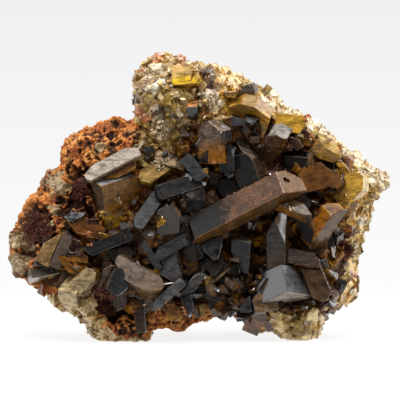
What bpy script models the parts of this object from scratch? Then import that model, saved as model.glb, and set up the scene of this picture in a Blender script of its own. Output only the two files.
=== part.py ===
"""Barite cluster: smoky and amber barite crystals in the hollow of a limonite matrix, with a rim
of massive pale barite. It stands upright on its own base, with the hollow facing -Y.

Lengths are in millimetres while the pieces are made, and the finished meshes are in metres.
X runs to the right and Z up in the front view, and Y runs away from the viewer.
"""

import math

import bmesh
import bpy
from mathutils import Matrix, Vector, noise

# Driving dimensions, in millimetres
METRES = 0.001
GAP = 0.3
SLACK = 0.5
ROCK_CENTRE = (0.0, 32.0)
FRONT_BULGE = 14.0
BACK_BULGE = 19.0
HOLLOW_DEPTH = 2.4
HOLLOW_EDGE = (0.40, 0.82)
EDGE_SHARPNESS = 3.0
ROCK_RINGS = 22
OUTER_REACH = 40.0
FOOT_LEVEL = 1.0
SILHOUETTE_PLANE = (2.0, 0.04, 0.05)
SIGHT_RISE = math.tan(math.radians(4.0))
ROCK_GRAIN = 1.2
ROCK_SHARE = 0.125
RUGGED_SEED = 32
COARSE_LUMP = (8.0, 1.3)
FINE_LUMP = (3.5, 0.6)

# Outline of the whole rock in the front view, clockwise from the left of the crown.
# The two feet run below the foot level and are cut flat there.
OUTLINE = (
    (-15.2, 68.0), (-13.8, 69.2), (-11.8, 70.8), (-9.8, 71.8), (-8.0, 71.0), (-5.2, 71.0),
    (-3.8, 69.5), (-1.5, 68.8), (0.2, 67.5), (3.0, 68.5), (6.0, 67.8), (10.0, 65.5),
    (12.8, 63.8), (14.0, 63.0), (16.2, 61.2), (19.2, 60.8), (20.8, 58.0), (24.0, 57.2),
    (25.5, 56.0), (29.0, 53.8), (33.0, 50.8), (35.5, 48.8), (38.0, 46.0), (40.5, 43.8),
    (44.2, 42.2), (47.5, 40.0), (45.8, 37.5), (42.5, 34.2), (42.2, 31.0), (40.5, 26.5),
    (40.2, 24.0), (38.2, 19.0), (38.8, 15.8), (38.5, 11.0), (35.5, 9.2), (33.0, 7.0),
    (30.8, 4.2), (29.8, 1.0), (28.0, -2.0), (23.8, -2.0), (18.8, 3.5), (16.0, 2.2),
    (13.8, 3.5), (11.2, 6.2), (7.5, 7.0), (5.5, 5.8), (4.0, 6.5), (1.0, 5.5),
    (-4.0, 4.0), (-8.5, 3.5), (-11.8, 3.0), (-13.5, 1.5), (-16.0, -1.8), (-21.0, -3.2),
    (-26.0, -1.6), (-26.8, 1.4), (-29.0, 4.8), (-31.5, 7.2), (-34.0, 7.8), (-36.8, 10.8),
    (-37.2, 13.2), (-42.2, 14.0), (-46.2, 17.5), (-47.8, 22.0), (-47.2, 26.5), (-45.0, 31.0),
    (-43.0, 35.2), (-38.8, 38.0), (-38.2, 41.2), (-34.8, 43.0), (-33.5, 47.5), (-32.2, 50.2),
    (-29.0, 52.8), (-24.5, 54.2), (-21.8, 55.5), (-18.2, 54.5), (-15.2, 55.2), (-15.5, 57.0),
    (-16.2, 58.5), (-16.8, 60.8), (-16.2, 63.2), (-17.0, 66.0),
)

# Swellings of the rock's front, and its pits where the height is negative: across, up, radius,
# height towards the viewer
LUMPS = (
    (-9.0, 62.0, 7.0, 4.0),
    (-25.0, 48.0, 8.0, 2.5),
    (-38.0, 25.0, 9.0, 3.0),
    (-29.0, 8.0, 8.0, 6.0),
    (-20.0, 4.0, 7.0, 3.0),
    (22.0, 5.0, 9.0, 3.0),
    (38.0, 20.0, 6.0, 3.0),
    (9.0, 11.0, 5.0, 3.0),
    (10.5, 12.5, 2.4, -5.0),
    (7.5, 26.0, 3.0, -4.0),
    (6.0, 41.0, 3.0, -3.0),
    (-13.5, 44.5, 2.2, -4.0),
    (-30.5, 35.0, 3.0, -3.0),
    (-40.0, 28.0, 3.2, -3.5),
    (-22.0, 9.0, 3.2, -5.0),
    (-25.2, 12.2, 1.6, -3.0),
    (24.5, 23.5, 2.4, -3.0),
)

# Outlines of the masses of pale barite that take the place of limonite along the rim
MASSES = (
    ("crown_barite", ((-18.8, 74.0), (0.8, 74.0), (0.8, 60.5), (-0.5, 52.5), (-4.0, 45.5),
                      (-10.0, 42.5), (-14.8, 42.0), (-15.2, 47.5), (-14.8, 55.0), (-18.5, 57.0))),
    ("top_barite", ((0.8, 74.0), (15.5, 68.0), (15.5, 58.5), (12.5, 53.5), (6.0, 53.5),
                    (-0.5, 52.5), (0.8, 60.5))),
    ("upper_rim_barite", ((15.5, 68.0), (51.0, 50.0), (51.0, 33.8), (43.0, 33.8), (36.2, 35.0),
                          (33.8, 41.2), (29.5, 47.5), (22.5, 50.5), (17.0, 55.0), (15.5, 58.5))),
    ("right_rim_barite", ((36.2, 35.0), (43.0, 33.8), (51.0, 33.8), (51.0, 9.0), (33.0, 11.0),
                          (33.0, 24.0), (35.5, 30.0))),
    ("right_base_barite", ((10.5, 10.0), (15.0, 10.0), (22.0, 8.0), (33.0, 11.0), (51.0, 9.0),
                           (51.0, -8.0), (9.5, -8.0), (10.5, 6.0))),
    ("left_fringe_barite", ((-41.0, -8.0), (-41.0, 12.5), (-35.5, 12.5), (-30.5, 18.8),
                            (-26.0, 20.5), (-23.5, 14.5), (-26.0, 10.0), (-23.5, 4.5),
                            (-18.0, 2.5), (-13.0, 2.5), (-13.0, -8.0))),
)

COLOURS = {
    "limonite": ((0.36, 0.15, 0.05), 0.85),
    "massive": ((0.72, 0.62, 0.38), 0.45),
    "grey": ((0.30, 0.31, 0.32), 0.15),
    "dark": ((0.07, 0.06, 0.055), 0.12),
    "brown": ((0.22, 0.13, 0.07), 0.18),
    "amber": ((0.45, 0.24, 0.04), 0.12),
    "pale": ((0.62, 0.55, 0.45), 0.20),
}


def seen_at(point):
    """The place of a point whose height is read in the front view. That view looks down a little,
    so a point in front of the rock's middle is higher than it seems."""
    x, y, z = point
    return Vector((x, y, z - y * SIGHT_RISE))


def block(corner, first, second, third, trims=()):
    """A crystal seen from its near corner. Each edge is given by its run across and up in the
    front view, and the right angles between the edges give how far each of them recedes."""
    flat = [Vector((edge[0], 0.0, edge[1])) for edge in (first, second, third)]
    dots = [flat[i].dot(flat[(i + 1) % 3]) for i in range(3)]
    axes = []
    sizes = []
    for i in range(3):
        recede = math.sqrt(-dots[i] * dots[i - 1] / dots[(i + 1) % 3])
        edge = flat[i] + Vector((0.0, recede, 0.0))
        sizes.append(edge.length)
        axes.append(edge.normalized())
    return {"at": seen_at(corner), "axes": axes, "low": (0.0, 0.0, 0.0), "high": tuple(sizes),
            "trims": trims}


def prism(tip, heading, length, width, thick, tilt=0.0, roll=0.0, trims=()):
    """A crystal given by the middle of its free end. It points along heading, in degrees from
    right towards up, leans towards the viewer by tilt and turns on its own axis by roll. Its
    axes for trims are its length, its width in the front view, and its side to the viewer."""
    turn = math.radians(heading)
    lean = math.radians(tilt)
    along = Vector((math.cos(turn) * math.cos(lean), -math.sin(lean),
                    math.sin(turn) * math.cos(lean)))
    across = Vector((-math.sin(turn), 0.0, math.cos(turn)))
    spin = Matrix.Rotation(math.radians(roll), 3, along)
    across = spin @ across
    near = along.cross(across)
    return {"at": seen_at(tip), "axes": [along, across, near],
            "low": (-length, -width / 2, -thick / 2), "high": (0.0, width / 2, thick / 2),
            "trims": trims}


def trim(a=None, b=None, c=None):
    """One flat cut across a corner or an edge of a crystal. Each value is how much is cut from
    that axis, at its high end where it is positive and at its low end where it is negative."""
    return (a, b, c)


# Every crystal, foremost first: a node's name, its colour and the crystals grown together in it
CRYSTALS = (
    ("great_prism", "brown", (
        prism((24.4, -16.5, 40.6), 28, 31.5, 6.6, 5.4, tilt=10, roll=-36,
              trims=(trim(a=4.6, c=3.6), trim(a=2.6, b=3.0), trim(a=-2.4, b=2.4),
                     trim(a=-2.0, c=2.6), trim(b=-1.2, c=-1.2))),)),
    ("lower_right_crystal", "grey", (
        block((21.2, -19.0, 12.9), (-1.5, 6.4), (-6.8, -3.6), (7.2, -2.0),
              trims=(trim(a=3.2, c=5.0), trim(a=2.4, b=3.0), trim(b=2.4, c=2.2))),
        prism((15.3, -13.2, 16.4), 100, 9.0, 3.6, 4.0, tilt=20, roll=20,
              trims=(trim(a=2.6, b=2.2),)),
        prism((12.4, -13.0, 9.2), 190, 6.2, 4.6, 5.0, tilt=15, roll=10,
              trims=(trim(a=1.2, b=-1.2),)))),
    ("amber_block", "amber", (
        block((-24.2, -15.5, 38.6), (9.6, 3.0), (1.2, -11.2), (-3.0, 1.5),
              trims=(trim(a=8.6, b=4.6), trim(a=1.8, b=-4.6), trim(b=8.0, c=4.4))),)),
    ("bright_blade", "brown", (
        prism((28.0, -18.0, 31.0), -21, 12.0, 3.2, 3.0, tilt=18, roll=-38,
              trims=(trim(a=4.0, b=2.6), trim(a=2.0, b=-1.5))),)),
    ("rose_brown_crystal", "pale", (
        prism((-9.4, -15.5, 13.0), -28, 13.5, 6.4, 5.2, tilt=8, roll=-25,
              trims=(trim(a=3.0, b=2.6), trim(a=2.4, b=-2.4), trim(a=-4.5, b=-3.0),
                     trim(b=1.5, c=2.0))),
        prism((-17.0, -15.0, 12.0), -88, 7.5, 4.2, 4.4, tilt=15, roll=10,
              trims=(trim(a=1.2, b=1.2),)))),
    ("diagonal_blade", "grey", (
        prism((-12.0, -17.2, 8.4), 221, 10.5, 2.5, 1.8, tilt=14, roll=8,
              trims=(trim(a=2.2, b=-1.4),)),)),
    ("dark_triangle", "dark", (
        prism((-20.6, -15.6, 18.4), 86, 7.0, 5.2, 5.0, tilt=-10, roll=14,
              trims=(trim(a=4.4, b=1.8), trim(a=3.8, b=-1.6), trim(a=-1.6, b=2.8),
                     trim(a=-2.2, b=-2.4))),)),
    ("pale_cube", "pale", (
        block((-30.5, -17.6, 12.2), (-4.6, 0.8), (3.0, 4.0), (0.5, -4.0),
              trims=(trim(a=1.2, c=1.2), trim(b=1.4, c=1.6))),
        prism((-25.4, -15.0, 17.6), 42, 7.0, 4.2, 4.4, tilt=8, roll=-20,
              trims=(trim(a=1.0, b=1.6), trim(a=1.4, b=-1.2))))),
    ("long_charcoal_prism", "dark", (
        prism((-28.2, -15.0, 22.2), 201, 12.0, 2.8, 3.2, tilt=10, roll=14,
              trims=(trim(a=1.2, b=1.4),)),)),
    ("spear_crystal", "dark", (
        prism((18.6, -13.5, 33.2), 92, 17.0, 4.6, 5.0, tilt=6, roll=-12,
              trims=(trim(a=6.0, b=3.6), trim(a=8.0, b=-3.4, c=4.6), trim(b=-0.9, c=-0.9))),)),
    ("charcoal_prism", "dark", (
        prism((-10.8, -13.5, 36.6), 197, 11.4, 3.6, 4.2, tilt=10, roll=14,
              trims=(trim(a=-3.5, b=-1.6), trim(a=0.6, b=1.0))),)),
    ("bent_blade", "grey", (
        prism((0.8, -14.5, 40.0), -51, 7.6, 2.7, 3.2, tilt=24, roll=8,
              trims=(trim(a=1.0, b=-1.0),)),)),
    ("left_grey_blade", "grey", (
        prism((-16.1, -15.0, 28.4), 234, 11.0, 3.3, 2.4, tilt=22, roll=0,
              trims=(trim(a=1.4, b=-1.4), trim(a=0.8, b=0.8))),)),
    ("amber_prism", "amber", (
        prism((33.6, -14.0, 34.3), 57, 12.5, 4.2, 4.4, tilt=14, roll=-42,
              trims=(trim(a=2.4, c=2.6), trim(a=1.6, b=1.6))),)),
    ("white_topped_prism", "brown", (
        prism((19.8, -12.5, 52.4), 67, 12.0, 4.6, 4.8, tilt=42, roll=-6,
              trims=(trim(a=1.4, b=1.6), trim(b=-0.8, c=0.8))),)),
    ("standing_prism", "grey", (
        block((12.2, -14.5, 24.9), (-4.6, 0.5), (-0.5, -8.0), (2.6, 1.2),
              trims=(trim(a=3.6, b=5.2), trim(b=1.5, c=3.0))),)),
    ("slate_prism", "dark", (
        prism((28.5, -13.5, 24.3), -57, 9.5, 2.7, 2.6, tilt=16, roll=10,
              trims=(trim(a=1.2, b=-1.4),)),)),
    ("centre_blade", "grey", (
        prism((-11.3, -14.0, 21.4), 208, 10.0, 3.0, 2.2, tilt=12, roll=6,
              trims=(trim(a=1.8, b=-1.6),)),
        prism((-14.4, -14.0, 25.2), 122, 8.0, 1.6, 2.8, tilt=8, roll=0,
              trims=(trim(a=0.8, b=0.8),)))),
    ("slate_plate", "dark", (
        prism((-6.6, -14.0, 14.4), -74, 9.0, 5.4, 2.6, tilt=14, roll=6,
              trims=(trim(a=3.4, b=-3.6), trim(a=0.8, b=1.0))),)),
    ("grey_leaf", "grey", (
        prism((0.5, -15.0, 17.6), 53, 7.6, 2.4, 1.8, tilt=12, roll=0,
              trims=(trim(a=1.8, b=1.2), trim(a=-2.5, b=-1.2)),),)),
    ("hanging_prism", "dark", (
        prism((-2.7, -14.0, 6.4), -83, 9.0, 2.9, 2.8, tilt=8, roll=12,
              trims=(trim(a=1.6, b=1.6), trim(a=1.4, b=-1.2))),)),
    ("tall_dark_prism", "dark", (
        prism((8.6, -9.0, 51.6), 110, 15.5, 6.0, 5.2, tilt=2, roll=-24,
              trims=(trim(a=7.0, b=-4.8), trim(a=5.0, c=3.8), trim(a=2.0, b=1.2))),)),
    ("window_crystal", "brown", (
        prism((-7.4, -12.5, 35.0), 88, 10.5, 5.6, 4.8, tilt=20, roll=-8,
              trims=(trim(a=2.0, b=2.4), trim(a=2.8, b=-2.4))),)),
    ("dark_block", "dark", (
        prism((-0.6, -13.0, 20.3), -62, 9.0, 3.8, 3.4, tilt=12, roll=8,
              trims=(trim(a=0.8, b=-1.2),)),)),
    ("grey_triangle", "grey", (
        prism((3.9, -13.0, 20.2), -76, 7.0, 4.8, 5.0, tilt=20, roll=0,
              trims=(trim(a=3.2, b=1.8), trim(a=2.6, b=-1.8))),)),
    ("dark_wedge", "dark", (
        prism((3.8, -13.0, 16.2), -80, 6.4, 5.2, 3.2, tilt=22, roll=0,
              trims=(trim(a=2.8, b=2.6), trim(a=2.8, b=-2.0))),)),
    ("grey_pair", "grey", (
        prism((-0.6, -11.0, 45.2), 200, 8.0, 4.2, 3.8, tilt=14, roll=-10,
              trims=(trim(a=4.0, b=2.0), trim(a=4.0, b=-1.6))),
        prism((6.4, -11.0, 49.4), 94, 7.0, 3.5, 4.4, tilt=6, roll=-16,
              trims=(trim(a=1.6, b=1.0), trim(a=1.4, b=-1.0))))),
    ("brown_top_prism", "amber", (
        prism((3.3, -11.0, 55.0), 93, 10.5, 6.6, 5.4, tilt=2, roll=-30,
              trims=(trim(a=2.6, b=-3.4), trim(a=2.4, b=1.8))),)),
    ("dark_box", "dark", (
        block((26.2, -11.0, 47.0), (-6.5, 0.4), (0.0, -4.2), (5.5, 1.0),
              trims=(trim(b=-1.3, c=-1.6), trim(b=-2.6, c=6.0))),)),
    ("golden_crystal", "amber", (
        prism((17.6, -9.5, 56.9), -14, 10.6, 4.2, 4.2, tilt=8, roll=40,
              trims=(trim(a=4.2, b=2.6), trim(a=1.2, b=-1.2), trim(a=-3.0, b=2.0))),)),
    ("gold_plate", "amber", (
        prism((-0.2, -8.6, 66.4), 6, 6.8, 5.0, 3.6, tilt=6, roll=-12,
              trims=(trim(a=1.6, b=2.4), trim(a=1.0, b=-1.0))),)),
    ("taupe_prism", "brown", (
        prism((13.6, -5.5, 63.4), 38, 7.0, 2.8, 3.0, tilt=14, roll=-12,
              trims=(trim(a=0.8, b=-0.8),)),)),
    ("crown_box", "dark", (
        block((-0.8, -11.0, 58.2), (-3.0, 0.0), (0.2, -3.6), (0.5, 2.2),
              trims=(trim(a=-0.9, b=1.6), trim(a=1.0, b=0.8))),)),
    ("pale_blade", "pale", (
        prism((-15.2, -11.4, 47.5), 27, 14.8, 3.4, 3.0, tilt=-4, roll=-18,
              trims=(trim(a=2.7, b=1.3), trim(a=-3.0, b=1.4), trim(a=-0.8, b=-0.8))),)),
    ("orange_slab", "amber", (
        prism((-16.0, -10.5, 44.6), 28, 8.5, 3.6, 3.2, tilt=0, roll=-20,
              trims=(trim(a=0.8, b=-1.0),)),)),
    ("olive_crystal", "amber", (
        prism((-14.8, -10.5, 39.6), 214, 9.0, 4.2, 4.0, tilt=14, roll=18,
              trims=(trim(a=1.4, b=1.8), trim(a=1.4, b=-1.2))),
        prism((-3.6, -9.5, 43.4), -16, 8.0, 3.2, 3.4, tilt=6, roll=-24,
              trims=(trim(a=2.0, b=1.4),)))),
    ("grey_bar", "grey", (
        prism((1.0, -9.5, 33.8), 4, 8.0, 2.6, 3.4, tilt=-4, roll=-10,
              trims=(trim(a=1.6, b=-1.0),)),)),
    ("shadow_crystal", "dark", (
        prism((4.2, -8.5, 38.0), 172, 9.0, 4.4, 4.4, tilt=6, roll=16,
              trims=(trim(a=1.4, b=1.4),)),)),
    ("brown_mass", "brown", (
        prism((32.4, -9.5, 41.6), 14, 8.0, 6.6, 5.0, tilt=4, roll=-14,
              trims=(trim(a=2.0, b=3.0), trim(a=2.0, b=-3.2), trim(a=-2.0, b=1.6))),
        prism((34.8, -11.0, 39.8), -8, 6.0, 4.2, 3.6, tilt=12, roll=-16,
              trims=(trim(a=1.6, b=1.4), trim(a=0.8, b=-1.6))))),
    ("grey_shoulder", "grey", (
        prism((26.8, -11.4, 35.6), 42, 7.0, 3.2, 2.8, tilt=10, roll=-8,
              trims=(trim(a=1.0, b=-1.4),)),)),
    ("ochre_wedge", "amber", (
        prism((34.9, -4.8, 46.0), -36, 9.5, 2.6, 3.0, tilt=4, roll=-16,
              trims=(trim(a=2.4, b=1.4),)),)),
    ("ochre_facet", "amber", (
        prism((26.0, -6.6, 53.6), -6, 7.5, 4.6, 4.0, tilt=4, roll=-10,
              trims=(trim(a=1.4, b=-2.4),)),)),
    ("ochre_knob", "amber", (
        prism((40.4, -9.0, 41.2), 46, 9.0, 5.6, 4.8, tilt=8, roll=-20,
              trims=(trim(a=2.0, b=2.0), trim(a=2.2, b=-2.2))),)),
    ("brown_slab", "brown", (
        prism((29.4, -12.2, 19.6), -9, 9.0, 3.8, 4.2, tilt=6, roll=-24,
              trims=(trim(a=2.0, b=1.6),)),)),
    ("brown_standing_crystal", "brown", (
        prism((31.0, -12.5, 10.4), -68, 11.0, 5.0, 4.6, tilt=6, roll=14,
              trims=(trim(a=2.2, b=-2.0), trim(a=1.6, b=1.8))),)),
    ("grey_left_crystal", "grey", (
        prism((-32.2, -14.0, 27.2), 64, 9.5, 2.9, 2.8, tilt=10, roll=12,
              trims=(trim(a=1.4, b=-1.4),)),)),
    ("ochre_left_crystal", "amber", (
        prism((-34.4, -13.6, 28.0), 62, 9.5, 3.6, 3.2, tilt=6, roll=-6,
              trims=(trim(a=4.5, b=2.8),)),)),
    ("brown_left_face", "brown", (
        prism((-22.0, -14.0, 19.6), 74, 8.0, 3.6, 3.8, tilt=4, roll=8,
              trims=(trim(a=1.6, b=1.6),)),)),
    ("gold_facet", "amber", (
        prism((-27.4, -13.5, 20.6), -4, 7.0, 2.6, 3.4, tilt=10, roll=-20,
              trims=(trim(a=1.2, b=1.0),)),
        prism((-31.0, -14.5, 17.2), -52, 6.5, 1.7, 2.4, tilt=12, roll=0,
              trims=(trim(a=0.8, b=-0.7),)))),
    ("left_box_crystal", "pale", (
        block((-41.5, -13.6, 16.0), (7.0, 1.2), (-0.6, 2.2), (-1.0, -1.9),
              trims=(trim(a=1.8, b=0.8), trim(b=0.5, c=0.8))),)),
    ("split_gold_crystal", "amber", (
        prism((-33.6, -12.4, 29.4), 162, 10.0, 3.6, 3.4, tilt=6, roll=26,
              trims=(trim(a=3.4, b=2.4),)),)),
    ("amber_eye", "amber", (
        prism((-4.8, -11.5, 5.9), -48, 7.0, 3.4, 3.6, tilt=10, roll=10,
              trims=(trim(a=1.2, b=1.4), trim(a=1.2, b=-1.2))),)),
    ("hanging_post", "dark", (
        prism((-14.5, -13.6, 2.6), -88, 8.0, 2.5, 2.6, tilt=2, roll=12),)),
)


def clear_scene():
    for obj in list(bpy.data.objects):
        bpy.data.objects.remove(obj, do_unlink=True)


def new_collection(name):
    collection = bpy.data.collections.new(name)
    bpy.context.scene.collection.children.link(collection)
    return collection


def new_material(name, colour):
    tint, roughness = COLOURS[colour]
    material = bpy.data.materials.new(name)
    material.use_nodes = True
    shader = material.node_tree.nodes["Principled BSDF"]
    shader.inputs["Base Color"].default_value = (*tint, 1.0)
    shader.inputs["Roughness"].default_value = roughness
    shader.inputs["Metallic"].default_value = 0.0
    return material


def add_object(name, bm, collection):
    mesh = bpy.data.meshes.new(name)
    bmesh.ops.recalc_face_normals(bm, faces=bm.faces[:])
    bm.to_mesh(mesh)
    bm.free()
    obj = bpy.data.objects.new(name, mesh)
    collection.objects.link(obj)
    return obj


def cut_flat(bm, point, normal):
    """Removes what lies beyond a plane and closes the cut."""
    geometry = bm.verts[:] + bm.edges[:] + bm.faces[:]
    bmesh.ops.bisect_plane(bm, geom=geometry, dist=1e-5, plane_co=point, plane_no=normal,
                           clear_outer=True)
    rim = [edge for edge in bm.edges if edge.is_boundary]
    bmesh.ops.holes_fill(bm, edges=rim)


def crystal_body(crystal, grow=0.0):
    """The closed body of one crystal, every face of it moved outwards by grow."""
    low = Vector(crystal["low"])
    high = Vector(crystal["high"])
    margin = Vector((grow, grow, grow))
    size = high - low + 2 * margin
    bm = bmesh.new()
    bmesh.ops.create_cube(bm, size=1.0)
    place = Matrix.Translation((low + high) / 2) @ Matrix.Diagonal((*size, 1.0))
    bmesh.ops.transform(bm, matrix=place, verts=bm.verts)
    for cuts in crystal["trims"]:
        point = Vector([high[i] if (cuts[i] or 0.0) > 0.0 else low[i] for i in range(3)])
        normal = Vector([0.0 if cut is None else 1.0 / cut for cut in cuts])
        first = next(i for i in range(3) if cuts[i] is not None)
        point[first] -= cuts[first]
        normal.normalize()
        cut_flat(bm, point + normal * grow, normal)
    turn = Matrix(crystal["axes"]).transposed().to_4x4()
    bmesh.ops.transform(bm, matrix=Matrix.Translation(crystal["at"]) @ turn, verts=bm.verts)
    bmesh.ops.recalc_face_normals(bm, faces=bm.faces[:])
    return bm


def combine(obj, other, operation):
    """Joins or cuts an object with another one and keeps the result in its mesh. A result that
    is open, or whose volume can't be right, is made again with the second solver."""
    first = volume_of(obj.data)
    second = volume_of(other.data)
    least, most = {"UNION": (max(first, second), first + second),
                   "DIFFERENCE": (first - second, first),
                   "INTERSECT": (0.0, min(first, second))}[operation]
    for solver in ("EXACT", "MANIFOLD"):
        mesh = boolean_mesh(obj, other, operation, solver)
        if is_closed(mesh) and least - SLACK < volume_of(mesh) < most + SLACK:
            break
    old = obj.data
    obj.data = mesh
    bpy.data.meshes.remove(old)


def boolean_mesh(obj, other, operation, solver):
    modifier = obj.modifiers.new(operation, "BOOLEAN")
    modifier.operation = operation
    modifier.object = other
    modifier.solver = solver
    graph = bpy.context.evaluated_depsgraph_get()
    mesh = bpy.data.meshes.new_from_object(obj.evaluated_get(graph))
    obj.modifiers.remove(modifier)
    return mesh


def volume_of(mesh):
    bm = bmesh.new()
    bm.from_mesh(mesh)
    volume = bm.calc_volume(signed=True)
    bm.free()
    return volume


def is_closed(mesh):
    bm = bmesh.new()
    bm.from_mesh(mesh)
    closed = bool(bm.faces) and all(len(edge.link_faces) == 2 for edge in bm.edges)
    bm.free()
    return closed


def keep_largest(obj):
    """Drops the crumbs that a cut leaves and keeps the piece with the largest volume."""
    bm = bmesh.new()
    bm.from_mesh(obj.data)
    bm.faces.ensure_lookup_table()
    pending = set(bm.faces)
    best = []
    best_volume = 0.0
    while pending:
        stack = [pending.pop()]
        part = []
        while stack:
            face = stack.pop()
            part.append(face)
            for edge in face.edges:
                for near in edge.link_faces:
                    if near in pending:
                        pending.remove(near)
                        stack.append(near)
        volume = sum(face_volume(face) for face in part)
        if volume > best_volume:
            best = part
            best_volume = volume
    keep = set(best)
    bmesh.ops.delete(bm, geom=[face for face in bm.faces if face not in keep], context="FACES")
    bm.to_mesh(obj.data)
    bm.free()


def face_volume(face):
    """Volume between the origin and a face, positive where the face looks away from it."""
    corners = [vertex.co for vertex in face.verts]
    fan = zip(corners[1:], corners[2:])
    return sum(corners[0].dot(second.cross(third)) for second, third in fan) / 6.0


def box_of(obj):
    points = [vertex.co for vertex in obj.data.vertices]
    low = Vector([min(point[i] for point in points) for i in range(3)])
    high = Vector([max(point[i] for point in points) for i in range(3)])
    return low, high


def near_each_other(first, second):
    low_a, high_a = box_of(first)
    low_b, high_b = box_of(second)
    return all(low_a[i] < high_b[i] and low_b[i] < high_a[i] for i in range(3))


def smooth_step(low, high, value):
    share = min(max((value - low) / (high - low), 0.0), 1.0)
    return share * share * (3.0 - 2.0 * share)


def rock_point(outline_point, reach, to_front):
    """A point of the rock's skin: reach runs from 0 in the middle to 1 on the outline."""
    x = ROCK_CENTRE[0] + reach * (outline_point[0] - ROCK_CENTRE[0])
    z = ROCK_CENTRE[1] + reach * (outline_point[1] - ROCK_CENTRE[1])
    middle = SILHOUETTE_PLANE[0] + SILHOUETTE_PLANE[1] * x
    middle += SILHOUETTE_PLANE[2] * (z - ROCK_CENTRE[1])
    bulge = max(1.0 - reach ** EDGE_SHARPNESS, 0.0) ** (1.0 / EDGE_SHARPNESS)
    if to_front:
        hollow = HOLLOW_DEPTH * (1.0 - smooth_step(*HOLLOW_EDGE, reach))
        y = middle - FRONT_BULGE * bulge + hollow
        for lump_x, lump_z, radius, height in LUMPS:
            far = ((x - lump_x) ** 2 + (z - lump_z) ** 2) / radius ** 2
            y -= height * bulge * math.exp(-far)
    else:
        y = middle + BACK_BULGE * bulge
    return Vector((x, y, z))


def rock_body(cutters):
    """The whole rock: a sphere with one meridian through each point of the outline, its poles
    in front and behind, moved out to the outline, made even and cut flat under its two feet."""
    bm = bmesh.new()
    count = len(OUTLINE)
    bmesh.ops.create_uvsphere(bm, u_segments=count, v_segments=ROCK_RINGS, radius=1.0)
    for vertex in bm.verts:
        x, y, pole = vertex.co
        meridian = round(math.atan2(y, x) / (2.0 * math.pi / count)) % count
        reach = min(math.hypot(x, y), 1.0)
        vertex.co = rock_point(OUTLINE[meridian], reach, pole > 0.0)
    rock = add_object("whole_rock", bm, cutters)
    even = rock.modifiers.new("even", "REMESH")
    even.mode = "VOXEL"
    even.voxel_size = ROCK_GRAIN
    fewer = rock.modifiers.new("fewer", "DECIMATE")
    fewer.ratio = ROCK_SHARE
    graph = bpy.context.evaluated_depsgraph_get()
    mesh = bpy.data.meshes.new_from_object(rock.evaluated_get(graph))
    bpy.data.objects.remove(rock)
    bm = bmesh.new()
    bm.from_mesh(mesh)
    bpy.data.meshes.remove(mesh)
    noise.seed_set(RUGGED_SEED)
    for vertex in bm.verts:
        vertex.co += ruggedness(vertex.co)
    cut_flat(bm, Vector((0.0, 0.0, FOOT_LEVEL)), Vector((0.0, 0.0, -1.0)))
    return bm


def ruggedness(point):
    """How far the rock's skin is moved from its smooth form by its lumps."""
    moved = Vector((0.0, 0.0, 0.0))
    for scale, height in (COARSE_LUMP, FINE_LUMP):
        moved += height * noise.noise_vector(point / scale)
    return moved


def mass_body(outline, grow):
    """A column through the whole rock with a given outline, moved outwards by grow."""
    count = len(outline)
    points = [Vector(point) for point in outline]
    area = sum(points[i - 1].cross(points[i]) for i in range(count))
    outwards = 1.0 if area > 0.0 else -1.0
    bm = bmesh.new()
    corners = []
    for i in range(count):
        before = (points[i] - points[i - 1]).normalized()
        after = (points[(i + 1) % count] - points[i]).normalized()
        normal = Vector((before.y + after.y, -before.x - after.x)).normalized() * outwards
        slant = normal.dot(Vector((after.y, -after.x)) * outwards)
        moved = points[i] + normal * grow / max(slant, 0.4)
        corners.append(bm.verts.new((moved.x, -OUTER_REACH, moved.y)))
    face = bm.faces.new(corners)
    grown = bmesh.ops.extrude_face_region(bm, geom=[face])
    moved = [item for item in grown["geom"] if isinstance(item, bmesh.types.BMVert)]
    bmesh.ops.translate(bm, verts=moved, vec=(0.0, 2 * OUTER_REACH, 0.0))
    bmesh.ops.recalc_face_normals(bm, faces=bm.faces[:])
    return bm


def make_crystals(collection, cutters):
    """Makes the crystals from the foremost back. Those in one entry are joined, and each of the
    later ones is cut where it would run into an earlier one. Returns the sockets they need."""
    sockets = []
    for name, colour, crystals in CRYSTALS:
        piece = add_object(name, crystal_body(crystals[0]), collection)
        for extra in crystals[1:]:
            other = add_object("grown_with_" + name, crystal_body(extra), cutters)
            combine(piece, other, "UNION")
            bpy.data.objects.remove(other)
        for socket in sockets:
            if near_each_other(piece, socket):
                combine(piece, socket, "DIFFERENCE")
        keep_largest(piece)
        piece.data.materials.clear()
        piece.data.materials.append(new_material(name + "_finish", colour))
        for number, crystal in enumerate(crystals):
            socket_name = f"socket_{number}_{name}"
            sockets.append(add_object(socket_name, crystal_body(crystal, GAP), cutters))
    return sockets


def make_rock(collection, cutters, sockets):
    """Makes the matrix and the masses of pale barite in it, with a socket for each crystal."""
    rock = rock_body(cutters)
    matrix = add_object("limonite_matrix", rock.copy(), collection)
    pieces = [(matrix, "limonite")]
    for name, outline in MASSES:
        mass = add_object(name, rock.copy(), collection)
        inner = add_object("column_of_" + name, mass_body(outline, -GAP / 2), cutters)
        outer = add_object("hole_for_" + name, mass_body(outline, GAP / 2), cutters)
        combine(mass, inner, "INTERSECT")
        combine(matrix, outer, "DIFFERENCE")
        pieces.append((mass, "massive"))
    rock.free()
    for piece, colour in pieces:
        for socket in sockets:
            if near_each_other(piece, socket):
                combine(piece, socket, "DIFFERENCE")
        keep_largest(piece)
        piece.data.materials.clear()
        piece.data.materials.append(new_material(piece.name + "_finish", colour))


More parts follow.
